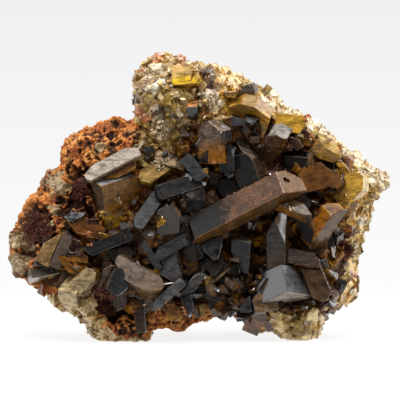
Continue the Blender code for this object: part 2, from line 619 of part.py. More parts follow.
def finish(collection, cutters):
    """Tidies each mesh, sets it in metres with the middle of the base at the origin, and hides
    the cutters."""
    boxes = [box_of(piece) for piece in collection.objects]
    middle = [(min(low[i] for low, high in boxes) + max(high[i] for low, high in boxes)) / 2
              for i in range(3)]
    bottom = min(low.z for low, high in boxes)
    shift = Matrix.Translation((-middle[0], -middle[1], -bottom))
    for piece in list(collection.objects) + list(cutters.objects):
        piece.data.transform(Matrix.Scale(METRES, 4) @ shift)
    for cutter in cutters.objects:
        cutter.hide_render = True
        cutter.display_type = "WIRE"


def main():
    clear_scene()
    cluster = new_collection("barite_cluster")
    cutters = new_collection("barite_cluster_cutters")
    sockets = make_crystals(cluster, cutters)
    make_rock(cluster, cutters, sockets)
    finish(cluster, cutters)


main()
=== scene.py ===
"""Looks of the barite cluster: the porous limonite matrix, the sugary rim of pale barite, the
see-through smoky and amber crystals, and the many small crystals, fibres and crumbs between them.

The frame is in metres with +Z up, and the front view looks along +Y. Small shapes and finishes
are worked out in millimetres.
"""

import math
import random

import bmesh
import bpy
import numpy as np
from mathutils import Matrix, Vector, noise
from mathutils.bvhtree import BVHTree
from mathutils.kdtree import KDTree


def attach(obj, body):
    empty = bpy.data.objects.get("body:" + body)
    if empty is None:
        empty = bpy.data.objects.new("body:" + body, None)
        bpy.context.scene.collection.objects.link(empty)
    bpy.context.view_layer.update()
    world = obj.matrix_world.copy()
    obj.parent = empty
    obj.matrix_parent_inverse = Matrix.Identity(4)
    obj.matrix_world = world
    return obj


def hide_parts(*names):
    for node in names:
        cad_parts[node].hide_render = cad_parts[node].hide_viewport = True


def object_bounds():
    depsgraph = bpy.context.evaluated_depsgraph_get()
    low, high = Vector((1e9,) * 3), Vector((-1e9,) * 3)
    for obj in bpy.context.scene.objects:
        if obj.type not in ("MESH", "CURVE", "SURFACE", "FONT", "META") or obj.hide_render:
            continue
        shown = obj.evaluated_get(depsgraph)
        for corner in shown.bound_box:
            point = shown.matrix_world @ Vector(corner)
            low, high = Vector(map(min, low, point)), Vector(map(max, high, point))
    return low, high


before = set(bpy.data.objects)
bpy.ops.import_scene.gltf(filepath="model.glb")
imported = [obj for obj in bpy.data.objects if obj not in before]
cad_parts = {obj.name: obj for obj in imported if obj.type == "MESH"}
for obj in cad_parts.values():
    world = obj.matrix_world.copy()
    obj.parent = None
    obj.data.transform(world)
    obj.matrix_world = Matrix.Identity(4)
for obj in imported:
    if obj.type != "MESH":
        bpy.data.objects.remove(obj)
cad_box = [list(corner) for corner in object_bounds()]

# Driving values
MM = 0.001
LUMP_SEED = 3
FACED_DEPTH = 6.5
FRONT_VIEW_SIDE = 400
FRONT_VIEW_WIDTH = 0.100
CAMERA_DISTANCE = 0.8
CAMERA_RISE = math.radians(4.0)
CAMERA_SENSOR = 36.0
LOOKED_AT = Vector((0.0, 0.0, 0.0342))
BARITE_IOR = 1.636
RUST_IOR = 1.40

MATRIX_VOXEL = 0.435
MASS_VOXEL = 0.42
MASSES = ("crown_barite", "top_barite", "upper_rim_barite", "right_rim_barite",
          "right_base_barite", "left_fringe_barite")

# Outline of the crystal-lined hollow in the 400 by 400 front view
HOLLOW = ((150, 160), (185, 138), (205, 120), (240, 116), (262, 120), (300, 132), (330, 150),
          (348, 178), (350, 205), (336, 232), (338, 296), (318, 306), (262, 316), (215, 306),
          (185, 300), (150, 309), (128, 302), (118, 290), (104, 280), (88, 272), (72, 290),
          (46, 284), (44, 262), (52, 244), (66, 222), (84, 224), (100, 232), (112, 215),
          (135, 196), (148, 190))


def sight_line(across, down):
    """Start and direction of the line of sight through a place in the front view."""
    back = Vector((0.0, -math.cos(CAMERA_RISE), math.sin(CAMERA_RISE)))
    up = Vector((0.0, math.sin(CAMERA_RISE), math.cos(CAMERA_RISE)))
    eye = LOOKED_AT + back * CAMERA_DISTANCE
    pixel = FRONT_VIEW_WIDTH / FRONT_VIEW_SIDE
    aim = LOOKED_AT + up * (FRONT_VIEW_SIDE / 2 - down) * pixel
    aim.x += (across - FRONT_VIEW_SIDE / 2) * pixel
    return eye, (aim - eye).normalized()


def inside(outline, x, y):
    """Whether a place lies inside an outline."""
    odd = False
    for i, (x2, y2) in enumerate(outline):
        x1, y1 = outline[i - 1]
        if (y1 > y) != (y2 > y) and x < (x2 - x1) * (y - y1) / (y2 - y1) + x1:
            odd = not odd
    return odd


def place_in_view(point):
    """Where a point shows in the front view."""
    back = Vector((0.0, -math.cos(CAMERA_RISE), math.sin(CAMERA_RISE)))
    up = Vector((0.0, math.sin(CAMERA_RISE), math.cos(CAMERA_RISE)))
    away = point - LOOKED_AT
    scale = CAMERA_DISTANCE / (CAMERA_DISTANCE - away.dot(back))
    pixel = FRONT_VIEW_WIDTH / FRONT_VIEW_SIDE
    across = FRONT_VIEW_SIDE / 2 + away.x * scale / pixel
    down = FRONT_VIEW_SIDE / 2 - away.dot(up) * scale / pixel
    return across, down


class Link:
    """What comes out of a shader node. It works in expressions with numbers and other links."""

    def __init__(self, finish, socket):
        self.finish = finish
        self.socket = socket

    def maths(self, operation, *values):
        values = dict(enumerate(values))
        return self.finish.node("ShaderNodeMath", {"operation": operation}, values)

    def __add__(self, other):
        return self.maths("ADD", self, other)

    def __radd__(self, other):
        return self.maths("ADD", other, self)

    def __sub__(self, other):
        return self.maths("SUBTRACT", self, other)

    def __rsub__(self, other):
        return self.maths("SUBTRACT", other, self)

    def __mul__(self, other):
        return self.maths("MULTIPLY", self, other)

    def __rmul__(self, other):
        return self.maths("MULTIPLY", other, self)

    def step(self, low, high):
        """A smooth rise from 0 where the value is low to 1 where it is high."""
        values = {"Value": self, "From Min": low, "From Max": high}
        return self.finish.node("ShaderNodeMapRange", {"interpolation_type": "SMOOTHSTEP"}, values)

    def ramp(self, *stops):
        """A colour read from stops, each a place from 0 to 1 and a colour."""
        return self.finish.node("ShaderNodeValToRGB", {"stops": stops}, {0: self})


class Shading:
    """A node tree that is filled from expressions."""

    def __init__(self, tree):
        self.tree = tree
        self.tree.nodes.clear()

    def node(self, kind, settings=None, values=None, output=0):
        made = self.tree.nodes.new(kind)
        for name, value in (settings or {}).items():
            if name == "stops":
                set_stops(made.color_ramp, value)
            else:
                setattr(made, name, value)
        for name, value in (values or {}).items():
            if isinstance(value, Link):
                self.tree.links.new(value.socket, made.inputs[name])
            else:
                made.inputs[name].default_value = value
        return Link(self, made.outputs[output])

    def mixed(self, share, first, second):
        """A colour between two colours."""
        return self.node("ShaderNodeMix", {"data_type": "RGBA"},
                         {0: share, 6: colour_value(first), 7: colour_value(second)}, 2)


class Finish(Shading):
    """A procedural material. Its textures are measured in millimetres."""

    def __init__(self, name):
        self.material = bpy.data.materials.new(name)
        self.material.use_nodes = True
        super().__init__(self.material.node_tree)
        whole = self.node("ShaderNodeTexCoord", output="Object")
        self.place = self.node("ShaderNodeVectorMath", {"operation": "SCALE"},
                               {0: whole, "Scale": 1.0 / MM})

    def noise(self, size, detail=3.0, roughness=0.55, stretch=None):
        """Cloudy noise with lumps of a given size."""
        place = self.place if stretch is None else self.stretched(stretch)
        return self.node("ShaderNodeTexNoise", {},
                         {"Vector": place, "Scale": 1.0 / size, "Detail": detail,
                          "Roughness": roughness})

    def cells(self, size, feature="F1", output="Distance"):
        """Cells of a given size."""
        return self.node("ShaderNodeTexVoronoi", {"feature": feature},
                         {"Vector": self.place, "Scale": 1.0 / size}, output)

    def stretched(self, scale):
        return self.node("ShaderNodeVectorMath", {"operation": "MULTIPLY"},
                         {0: self.place, 1: scale})

    def brightened(self, colour, factor):
        return self.node("ShaderNodeVectorMath", {"operation": "SCALE"},
                         {0: colour, "Scale": factor})

    def facing(self, direction):
        """How much the surface faces a direction, from -1 to 1."""
        normal = self.node("ShaderNodeNewGeometry", output="True Normal")
        return self.node("ShaderNodeVectorMath", {"operation": "DOT_PRODUCT"},
                         {0: normal, 1: Vector(direction).normalized()}, "Value")

    def stored(self, name):
        """A value that the mesh carries at each of its points."""
        return self.node("ShaderNodeAttribute", {"attribute_name": name}, output="Fac")

    def bump(self, height, depth, strength=1.0):
        return self.node("ShaderNodeBump", {},
                         {"Height": height, "Distance": depth * MM, "Strength": strength})

    def shader(self, **values):
        named = {name.replace("_", " "): value for name, value in values.items()}
        named["Base Color"] = colour_value(named["Base Color"])
        return self.node("ShaderNodeBsdfPrincipled", {}, named)

    def blended(self, share, first, second):
        """Two shaders, the second one showing by the given share."""
        return self.node("ShaderNodeMixShader", {}, {0: share, 1: first, 2: second})

    def done(self, surface, volume=None):
        output = self.tree.nodes.new("ShaderNodeOutputMaterial")
        self.tree.links.new(surface.socket, output.inputs["Surface"])
        if volume is not None:
            self.tree.links.new(volume.socket, output.inputs["Volume"])
        return self.material


def colour_value(colour):
    return (*colour, 1.0) if isinstance(colour, tuple) and len(colour) == 3 else colour


def set_stops(ramp, stops):
    while len(ramp.elements) < len(stops):
        ramp.elements.new(1.0)
    for element, (place, colour) in zip(ramp.elements, stops):
        element.position = place
        element.color = colour_value(colour)


# Finishes of the matrix and the rim


def limonite_finish():
    """Earthy rust: bright orange walls, painted shade darkening the pores, dark red-brown
    cavities, pale crusts, and a dark brown lining in the hollow that is partly painted shade of
    the recess."""
    f = Finish("limonite_finish")
    patches = f.noise(4.5, 4, 0.6)
    grain = f.noise(0.8, 5, 0.75)
    tone = patches * 0.45 + grain * 0.75 - 0.10
    colour = tone.ramp((0.32, (0.050, 0.011, 0.004)), (0.42, (0.26, 0.056, 0.010)),
                       (0.50, (0.56, 0.18, 0.028)), (0.60, (0.84, 0.42, 0.11)),
                       (0.72, (0.98, 0.76, 0.46)))
    pit = f.stored("pit")
    # Painted shade: the pores are darkened almost to black.
    colour = f.mixed(pit.step(0.10, 0.50) * 0.95, colour, (0.030, 0.008, 0.004))
    red = grain.ramp((0.40, (0.022, 0.007, 0.006)), (0.56, (0.085, 0.025, 0.014)),
                     (0.70, (0.26, 0.085, 0.030)))
    colour = f.mixed(f.stored("dark"), colour, red)
    cream = (grain * 0.6 + patches * 0.4).ramp((0.40, (0.10, 0.048, 0.014)),
                                               (0.50, (0.36, 0.24, 0.11)),
                                               (0.62, (0.68, 0.56, 0.36)))
    colour = f.mixed(f.stored("pale"), colour, cream)
    # The lining of the hollow is dark brown, partly painted shade of the recess between the
    # crystals.
    umber = (grain * 0.5 + patches * 0.5).ramp((0.38, (0.022, 0.009, 0.003)),
                                               (0.50, (0.090, 0.034, 0.008)),
                                               (0.60, (0.24, 0.095, 0.016)),
                                               (0.72, (0.50, 0.25, 0.045)))
    colour = f.mixed(f.stored("hollow"), colour, umber)
    rough = 0.9 - f.stored("hollow") * 0.5 - f.stored("pale") * 0.4
    surface = f.shader(Base_Color=colour, Roughness=rough, Normal=f.bump(grain, 0.30, 0.8))
    return f.done(surface)


def sugary_finish(name, bright, warm):
    """Massive barite: translucent yellow and whitish, with zones of white spar, gold, olive, brown
    and rust. Along the upper right edge of the rim the white zone is partly a painted highlight."""
    f = Finish(name)
    drift = f.noise(3.0, 4, 0.6)
    grain = f.noise(0.8, 4, 0.7)
    colour = f.mixed((drift * 0.6 + grain * 0.4).step(0.40, 0.62), warm, bright)
    # The white zone is partly white spar and partly a painted highlight along the lit upper right
    # edge of the rim.
    for zone, dark, light in (("white", (0.30, 0.20, 0.095), (0.82, 0.69, 0.47)),
                              ("gold", (0.32, 0.15, 0.012), (0.74, 0.44, 0.06)),
                              ("olive", (0.15, 0.085, 0.014), (0.46, 0.31, 0.085)),
                              ("brown", (0.12, 0.066, 0.030), (0.42, 0.27, 0.14)),
                              ("rust", (0.22, 0.055, 0.012), (0.72, 0.30, 0.085))):
        tone = f.mixed((grain * 0.7 + drift * 0.3).step(0.42, 0.60), dark, light)
        colour = f.mixed(f.stored(zone), colour, tone)
    cracks = f.cells(2.2, "DISTANCE_TO_EDGE").step(0.05, 0.0)
    colour = f.mixed(cracks * 0.75, colour, (0.12, 0.065, 0.024))
    surface = f.shader(Base_Color=colour, Roughness=0.32 - grain * 0.22, IOR=BARITE_IOR,
                       Subsurface_Weight=0.25, Subsurface_Radius=(0.0030, 0.0021, 0.0010),
                       Subsurface_Scale=0.5, Normal=f.bump(grain, 0.12, 0.6))
    return f.done(surface)


# Finishes of the crystals


def crystal_finish(name, look, face_tones=(), painted_glow_below=None):
    """See-through barite. Part of its body is cloudy, the rest is clear with a coloured depth.
    Patches, downward faces and some lower parts carry a painted glow of light passing through,
    and some faces carry painted light, shade and reflections, partly their own colour. Fine
    growth lines and rusty specks lie on it."""
    haze, deep, painted_glow, glass, absorbed, density, cloudy, rough = look
    f = Finish(name)
    drift = f.noise(5.0, 1)
    veils = f.noise(2.0, 3, 0.5)
    lines = f.noise(0.6, 2, 0.5, (0.3, 1.0, 2.4))
    grain = f.noise(0.4, 3, 0.7)
    tone = drift * 0.65 + veils * 0.35
    colour = f.mixed(tone.step(0.32, 0.70), deep, haze)
    # Patches of painted glow, where light would pass through the crystal.
    glow = f.noise(3.2, 3, 0.6).step(0.52, 0.66)
    colour = f.mixed(glow * 0.75, colour, painted_glow)
    # Faces that look down take the painted glow as well.
    below = f.facing((0.1, -0.4, -0.9)).step(0.45, 0.85) * veils.step(0.25, 0.60)
    colour = f.mixed(below * 0.9, colour, painted_glow)
    share = ((veils * 0.9 + drift * 0.5 - 0.7) * 2.0 + cloudy).step(0.0, 1.0)
    toned_faces = None
    # Each listed face takes a tone of painted light and shade, with painted reflections on some
    # and partly its own colour; this tone is not wear.
    for direction, face_tone in face_tones:
        facing = f.facing(direction).step(0.80, 0.92)
        worn = (veils * 0.6 + grain * 0.4).ramp((0.34, scaled(face_tone, 0.60)), (0.5, face_tone),
                                                (0.68, scaled(face_tone, 1.25)))
        colour = f.mixed(facing * 0.88, colour, worn)
        toned_faces = facing if toned_faces is None else toned_faces + facing
    if toned_faces is not None:
        share = share + toned_faces * 0.55
    if painted_glow_below is not None:
        # A painted glow of light passing through, low on the crystal.
        height, reach, gold = painted_glow_below
        level = f.node("ShaderNodeSeparateXYZ", {}, {0: f.place}, "Z")
        low = (level + (veils + grain - 1.0) * reach).step(height + reach, height)
        colour = f.mixed(low * 0.95, colour, gold)
    share = share.step(0.0, 1.0)
    streaks = f.noise(1.4, 4, 0.65, (0.5, 1.0, 1.5))
    light = (streaks * 0.6 + lines * 0.25 + grain * 0.15).step(0.34, 0.66)
    colour = f.brightened(colour, light * 1.15 + 0.45)
    rust = f.noise(0.7, 4, 0.75).step(0.63, 0.70) * 0.8
    colour = f.mixed(rust, colour, (0.24, 0.090, 0.03))
    normal = f.bump(lines * 0.5 + grain * 0.5, 0.04, 0.35)
    body = f.shader(Base_Color=colour, Roughness=rough + 0.12 * streaks + 0.5 * rust,
                    IOR=BARITE_IOR, Normal=normal)
    clear = f.shader(Base_Color=glass, Roughness=rough * 0.6, IOR=BARITE_IOR,
                     Transmission_Weight=1.0, Normal=normal)
    depth = f.node("ShaderNodeVolumeAbsorption", {},
                   {"Color": colour_value(absorbed), "Density": density})
    return f.done(f.blended(share, clear, body), depth)


def scaled(colour, factor):
    return tuple(min(part * factor, 1.0) for part in colour)


# Each look: haze, darker haze, painted glow of light passing through (on patches and
# undersides), glass, absorbed colour and density, cloudiness, roughness
LOOKS = {
    "slate": ((0.040, 0.043, 0.047), (0.015, 0.015, 0.015), (0.060, 0.026, 0.008),
              (0.60, 0.58, 0.55), (0.60, 0.46, 0.34), 550.0, 0.62, 0.09),
    "grey": ((0.072, 0.074, 0.076), (0.030, 0.029, 0.028), (0.090, 0.044, 0.016),
             (0.72, 0.70, 0.66), (0.68, 0.56, 0.42), 450.0, 0.62, 0.10),
    "charcoal": ((0.015, 0.014, 0.012), (0.006, 0.005, 0.004), (0.030, 0.012, 0.004),
                 (0.50, 0.42, 0.34), (0.50, 0.34, 0.20), 600.0, 0.60, 0.08),
    "umber": ((0.090, 0.038, 0.010), (0.024, 0.009, 0.002), (0.21, 0.080, 0.010),
              (0.92, 0.66, 0.36), (0.86, 0.44, 0.10), 340.0, 0.42, 0.09),
    "amber": ((0.26, 0.105, 0.008), (0.095, 0.032, 0.002), (0.48, 0.20, 0.012),
              (1.0, 0.80, 0.36), (0.95, 0.56, 0.08), 330.0, 0.50, 0.07),
    "gold": ((0.58, 0.31, 0.028), (0.28, 0.125, 0.008), (0.62, 0.34, 0.025),
             (1.0, 0.88, 0.52), (0.97, 0.74, 0.18), 280.0, 0.60, 0.09),
    "ochre": ((0.62, 0.36, 0.055), (0.34, 0.165, 0.016), (0.58, 0.32, 0.040),
              (1.0, 0.86, 0.50), (0.93, 0.66, 0.18), 300.0, 0.85, 0.12),
    "russet": ((0.110, 0.028, 0.008), (0.040, 0.010, 0.004), (0.20, 0.055, 0.010),
               (0.85, 0.45, 0.25), (0.80, 0.30, 0.08), 400.0, 0.70, 0.12),
    "taupe": ((0.085, 0.060, 0.040), (0.034, 0.021, 0.012), (0.12, 0.062, 0.022),
              (0.85, 0.72, 0.55), (0.78, 0.54, 0.30), 380.0, 0.62, 0.10),
    "rose": ((0.155, 0.105, 0.072), (0.060, 0.033, 0.016), (0.16, 0.085, 0.035),
             (0.95, 0.80, 0.62), (0.84, 0.58, 0.36), 330.0, 0.60, 0.09),
    "frost": ((0.46, 0.39, 0.32), (0.24, 0.19, 0.14), (0.32, 0.22, 0.13),
              (0.96, 0.92, 0.86), (0.88, 0.78, 0.60), 200.0, 0.85, 0.12),
    "lemon": ((0.66, 0.52, 0.28), (0.24, 0.155, 0.055), (0.44, 0.31, 0.13),
              (1.0, 0.94, 0.74), (0.95, 0.80, 0.44), 200.0, 0.55, 0.11),
    "honey": ((0.40, 0.245, 0.060), (0.17, 0.085, 0.014), (0.34, 0.18, 0.030),
              (0.98, 0.84, 0.48), (0.90, 0.66, 0.22), 300.0, 0.60, 0.11),
    "sugar": ((0.84, 0.74, 0.54), (0.42, 0.29, 0.13), (0.56, 0.41, 0.21),
              (1.0, 0.96, 0.86), (0.95, 0.86, 0.64), 150.0, 0.90, 0.20),
    "straw": ((0.72, 0.53, 0.22), (0.36, 0.22, 0.060), (0.50, 0.32, 0.095),
              (1.0, 0.92, 0.66), (0.95, 0.76, 0.34), 220.0, 0.75, 0.15),
}

CRYSTAL_LOOKS = {
    "slate": ("lower_right_crystal", "standing_prism", "bent_blade", "slate_plate",
              "slate_prism", "grey_pair", "hanging_prism", "dark_triangle", "grey_bar",
              "spear_crystal", "grey_triangle", "charcoal_prism", "centre_blade"),
    "grey": ("left_grey_blade", "diagonal_blade", "grey_leaf", "grey_shoulder",
             "grey_left_crystal"),
    "charcoal": ("long_charcoal_prism", "dark_wedge", "dark_box", "crown_box", "dark_block",
                 "tall_dark_prism", "shadow_crystal", "hanging_post"),
    "umber": ("bright_blade", "white_topped_prism", "window_crystal", "taupe_prism",
              "brown_mass", "brown_slab", "brown_standing_crystal", "brown_left_face",
              "brown_top_prism"),
    "amber": ("amber_block", "amber_prism", "orange_slab", "amber_eye",
              "split_gold_crystal", "gold_facet"),
    "honey": ("olive_crystal", "ochre_left_crystal"),
    "gold": ("golden_crystal", "gold_plate"),
    "ochre": ("ochre_wedge", "ochre_facet", "ochre_knob"),
    "rose": ("rose_brown_crystal",),
    "frost": ("pale_blade", "left_box_crystal"),
    "lemon": ("pale_cube",),
}

# Painted light, shade and reflections of faces, partly their own colour: the direction a face
# looks to, and its colour
FACE_LIGHT_AND_TONES = {
    "amber_block": (((0.5, -0.8, -0.3), (0.20, 0.085, 0.007)),
                    ((-0.1, -0.4, 0.9), (0.20, 0.22, 0.24)),
                    ((-0.9, -0.5, -0.3), (0.070, 0.058, 0.045))),
    "amber_eye": (((-0.2, -1.0, 0.0), (0.11, 0.050, 0.012)),),
    "amber_prism": (((-0.7, -0.7, 0.2), (0.30, 0.105, 0.010)),
                    ((0.5, -0.6, -0.5), (0.060, 0.032, 0.016)),
                    ((-0.1, -0.7, 0.7), (0.20, 0.095, 0.035))),
    "bent_blade": (((0.7, -0.1, 0.7), (0.085, 0.088, 0.090)),
                   ((-0.4, -0.9, 0.2), (0.038, 0.040, 0.042))),
    "bright_blade": (((0.0, -0.7, 0.7), (0.105, 0.068, 0.036)),
                     ((-0.5, -0.6, -0.7), (0.22, 0.085, 0.010))),
    "brown_left_face": (((0.2, -1.0, 0.1), (0.085, 0.056, 0.034)),),
    "brown_slab": (((0.0, -0.9, 0.4), (0.034, 0.017, 0.007)),),
    "brown_standing_crystal": (((-0.3, -1.0, 0.0), (0.085, 0.046, 0.020)),
                               ((0.9, -0.2, 0.4), (0.040, 0.020, 0.009))),
    "brown_top_prism": (((-0.5, -0.9, 0.1), (0.150, 0.108, 0.080)),
                        ((0.9, -0.5, 0.0), (0.052, 0.054, 0.056)),
                        ((0.5, -0.2, 0.8), (0.19, 0.135, 0.10))),
    "brown_mass": (((-0.1, -1.0, 0.2), (0.100, 0.030, 0.004)),
                   ((-0.1, -0.8, 0.6), (0.130, 0.052, 0.010)),
                   ((0.9, -0.2, -0.3), (0.26, 0.115, 0.016))),
    "centre_blade": (((0.1, -1.0, 0.1), (0.030, 0.030, 0.031)),
                     ((-0.8, 0.0, -0.5), (0.085, 0.074, 0.062))),
    "charcoal_prism": (((0.3, -0.2, -0.9), (0.012, 0.010, 0.008)),
                       ((0.1, -1.0, 0.3), (0.022, 0.022, 0.022))),
    "crown_box": (((0.0, -0.4, 0.9), (0.50, 0.22, 0.075)),
                  ((-0.1, -0.9, -0.4), (0.034, 0.031, 0.033))),
    "dark_box": (((0.9, -0.5, -0.1), (0.22, 0.115, 0.055)),
                 ((0.0, -0.1, 1.0), (0.24, 0.085, 0.020)),
                 ((-0.5, -0.9, -0.1), (0.010, 0.006, 0.004))),
    "dark_triangle": (((0.3, -1.0, 0.2), (0.018, 0.019, 0.020)),
                      ((-0.9, -0.2, 0.5), (0.080, 0.048, 0.028))),
    "diagonal_blade": (((0.1, -1.0, 0.3), (0.072, 0.073, 0.074)),),
    "gold_facet": (((-0.1, -0.9, 0.4), (0.16, 0.062, 0.006)),),
    "gold_plate": (((-0.1, -1.0, 0.2), (0.66, 0.43, 0.17)),
                   ((1.0, -0.1, 0.1), (0.34, 0.10, 0.010))),
    "golden_crystal": (((-0.2, -0.8, -0.6), (0.24, 0.115, 0.012)),
                       ((0.6, -0.6, 0.5), (0.30, 0.19, 0.095)),
                       ((0.1, -0.6, 0.8), (0.27, 0.17, 0.065)),
                       ((-0.5, -0.5, 0.8), (0.36, 0.19, 0.022))),
    "grey_left_crystal": (((0.1, -1.0, -0.2), (0.125, 0.080, 0.050)),
                          ((-0.9, -0.2, 0.4), (0.24, 0.14, 0.055))),
    "grey_pair": (((1.0, -0.3, 0.0), (0.055, 0.058, 0.062)),
                  ((-0.6, -0.2, 0.7), (0.10, 0.040, 0.008))),
    "hanging_post": (((-0.2, -1.0, 0.0), (0.045, 0.024, 0.014)),),
    "left_box_crystal": (((0.2, -0.9, 0.4), (0.050, 0.038, 0.028)),
                         ((-0.9, -0.3, -0.2), (0.090, 0.080, 0.068)),
                         ((0.2, -0.3, -0.9), (0.50, 0.42, 0.33))),
    "left_grey_blade": (((0.2, -0.9, 0.3), (0.090, 0.092, 0.092)),
                        ((-0.8, 0.0, 0.6), (0.070, 0.058, 0.042))),
    "long_charcoal_prism": (((0.1, -1.0, 0.3), (0.010, 0.010, 0.010)),),
    "lower_right_crystal": (((-0.6, -0.8, 0.2), (0.012, 0.013, 0.014)),
                            ((0.7, -0.5, 0.4), (0.085, 0.088, 0.090)),
                            ((0.2, -0.4, -0.9), (0.52, 0.45, 0.39)),
                            ((0.2, -1.0, 0.2), (0.16, 0.095, 0.045))),
    "ochre_facet": (((-0.1, -1.0, 0.2), (0.50, 0.28, 0.032)),),
    "ochre_knob": (((-0.3, -0.9, 0.1), (0.50, 0.28, 0.042)),
                   ((0.9, -0.3, 0.0), (0.74, 0.58, 0.30))),
    "ochre_left_crystal": (((-0.1, -1.0, 0.1), (0.24, 0.145, 0.058)),),
    "ochre_wedge": (((-0.6, -0.3, -0.8), (0.46, 0.25, 0.030)),
                    ((0.1, -1.0, 0.3), (0.66, 0.48, 0.20))),
    "orange_slab": (((-0.1, -0.9, 0.3), (0.36, 0.150, 0.022)),),
    "pale_blade": (((-0.1, -0.9, 0.3), (0.50, 0.42, 0.35)),
                   ((0.5, -0.3, -0.8), (0.34, 0.24, 0.15))),
    "pale_cube": (((-0.3, -0.9, 0.2), (0.30, 0.225, 0.115)),
                  ((-0.1, -0.6, 0.8), (0.42, 0.31, 0.16)),
                  ((0.6, -0.3, -0.7), (0.36, 0.28, 0.17)),
                  ((-0.4, -0.7, -0.5), (0.50, 0.36, 0.17))),
    "rose_brown_crystal": (((0.1, -0.9, 0.4), (0.130, 0.090, 0.062)),
                           ((-0.9, -0.3, -0.4), (0.095, 0.040, 0.008)),
                           ((-0.5, -0.4, -0.8), (0.17, 0.110, 0.065))),
    "slate_plate": (((-0.2, -1.0, 0.2), (0.054, 0.055, 0.056)),),
    "slate_prism": (((0.8, -0.2, 0.6), (0.12, 0.058, 0.026)),),
    "spear_crystal": (((0.6, -0.7, 0.3), (0.085, 0.062, 0.046)),
                      ((1.0, -0.2, 0.0), (0.060, 0.036, 0.020)),
                      ((-0.2, -1.0, -0.1), (0.038, 0.034, 0.028))),
    "split_gold_crystal": (((0.2, -0.9, 0.4), (0.085, 0.028, 0.007)),),
    "standing_prism": (((0.1, -0.2, 1.0), (0.36, 0.29, 0.20)),
                       ((1.0, -0.3, -0.1), (0.014, 0.012, 0.009)),
                       ((-0.3, -0.9, -0.1), (0.024, 0.025, 0.025))),
    "tall_dark_prism": (((0.9, -0.4, 0.3), (0.050, 0.028, 0.014)),
                        ((0.5, -0.4, 0.8), (0.21, 0.155, 0.110)),
                        ((-0.4, -0.9, -0.2), (0.013, 0.014, 0.011))),
    "taupe_prism": (((-0.3, -0.9, 0.0), (0.115, 0.080, 0.042)),
                    ((0.6, -0.2, -0.8), (0.070, 0.048, 0.024))),
    "white_topped_prism": (((-0.4, -0.7, -0.6), (0.095, 0.056, 0.032)),
                           ((0.3, -0.7, 0.7), (0.27, 0.24, 0.205)),
                           ((-0.4, -0.5, 0.8), (0.22, 0.20, 0.175))),
    "window_crystal": (((-0.2, -0.9, -0.3), (0.026, 0.019, 0.012)),
                       ((0.8, -0.3, 0.5), (0.19, 0.125, 0.080)),
                       ((-0.6, -0.2, 0.8), (0.26, 0.19, 0.13))),
}

# A painted glow in the lower part, of light passing through: its height and reach in
# millimetres, and its colour
PAINTED_GLOW_BELOW = {
    "amber_block": (28.0, 4.0, (0.78, 0.45, 0.018)),
    "gold_plate": (64.6, 1.8, (0.84, 0.52, 0.025)),
    "golden_crystal": (55.2, 2.6, (0.46, 0.21, 0.012)),
    "brown_top_prism": (46.0, 5.0, (0.26, 0.095, 0.005)),
    "amber_eye": (5.0, 4.0, (0.66, 0.36, 0.020)),
    "bent_blade": (37.0, 3.0, (0.13, 0.060, 0.012)),
    "window_crystal": (25.0, 3.0, (0.10, 0.045, 0.010)),
    "rose_brown_crystal": (12.0, 3.0, (0.15, 0.070, 0.018)),
    "slate_plate": (14.0, 3.0, (0.075, 0.036, 0.012)),
    "spear_crystal": (20.5, 3.0, (0.055, 0.034, 0.018)),
}


def rusty_prism_finish():
    """The great prism: smooth slate at its left, coated with rust on top, honey below, which is
    partly its own amber and partly a painted glow of light passing through, and with a light brown
    end face."""
    f = Finish("rusty_prism_finish")
    grain = f.noise(0.45, 4, 0.75)
    patches = f.noise(2.2, 4, 0.6)
    across = f.node("ShaderNodeSeparateXYZ", {}, {0: f.place})
    rust = (patches * 0.4 + grain * 0.6).ramp((0.34, (0.022, 0.010, 0.004)),
                                              (0.46, (0.060, 0.027, 0.010)),
                                              (0.57, (0.12, 0.052, 0.018)),
                                              (0.68, (0.48, 0.20, 0.070)))
    coated = (across + patches * 7.0 - 3.5).step(5.0, 8.5)
    above = f.facing((0.3, -0.5, -0.8)).step(0.75, 0.45)
    end = f.facing((0.2, -0.8, 0.6)).step(0.90, 0.96)
    fresh = (patches * 0.6 + grain * 0.4).ramp((0.38, (0.004, 0.004, 0.003)),
                                               (0.62, (0.016, 0.016, 0.015)))
    # The honey below is partly the crystal's amber and partly a painted glow of light passing
    # through.
    honey = (patches * 0.5 + grain * 0.5).ramp((0.36, (0.035, 0.014, 0.004)),
                                               (0.52, (0.17, 0.070, 0.012)),
                                               (0.68, (0.42, 0.20, 0.040)))
    light = grain.ramp((0.35, (0.08, 0.042, 0.020)), (0.65, (0.27, 0.160, 0.085)))
    body = f.shader(Base_Color=fresh, Roughness=0.12 + grain * 0.10, IOR=BARITE_IOR,
                    Normal=f.bump(grain, 0.05, 0.4))
    below = f.shader(Base_Color=honey, Roughness=0.18 + grain * 0.1, IOR=BARITE_IOR,
                     Transmission_Weight=0.35, Normal=f.bump(grain, 0.10, 0.5))
    crust = f.shader(Base_Color=f.mixed(end, rust, light), Roughness=0.30 + grain * 0.35,
                     IOR=RUST_IOR, Normal=f.bump(grain, 0.18, 0.6))
    upper = f.blended(coated, body, crust)
    surface = f.blended(above, below, upper)
    depth = f.node("ShaderNodeVolumeAbsorption", {},
                   {"Color": (0.85, 0.55, 0.25, 1.0), "Density": 450.0})
    return f.done(surface, depth)


def worn_edge_finish(name, colour, dark):
    """Chipped edges, a little lighter than the crystal, with rust in them."""
    f = Finish(name)
    grain = f.noise(0.5, 3, 0.7)
    tone = f.mixed(grain.step(0.45, 0.6), dark, colour)
    return f.done(f.shader(Base_Color=tone, Roughness=0.35, IOR=BARITE_IOR,
                           Normal=f.bump(grain, 0.05, 0.4)))


# Shapes


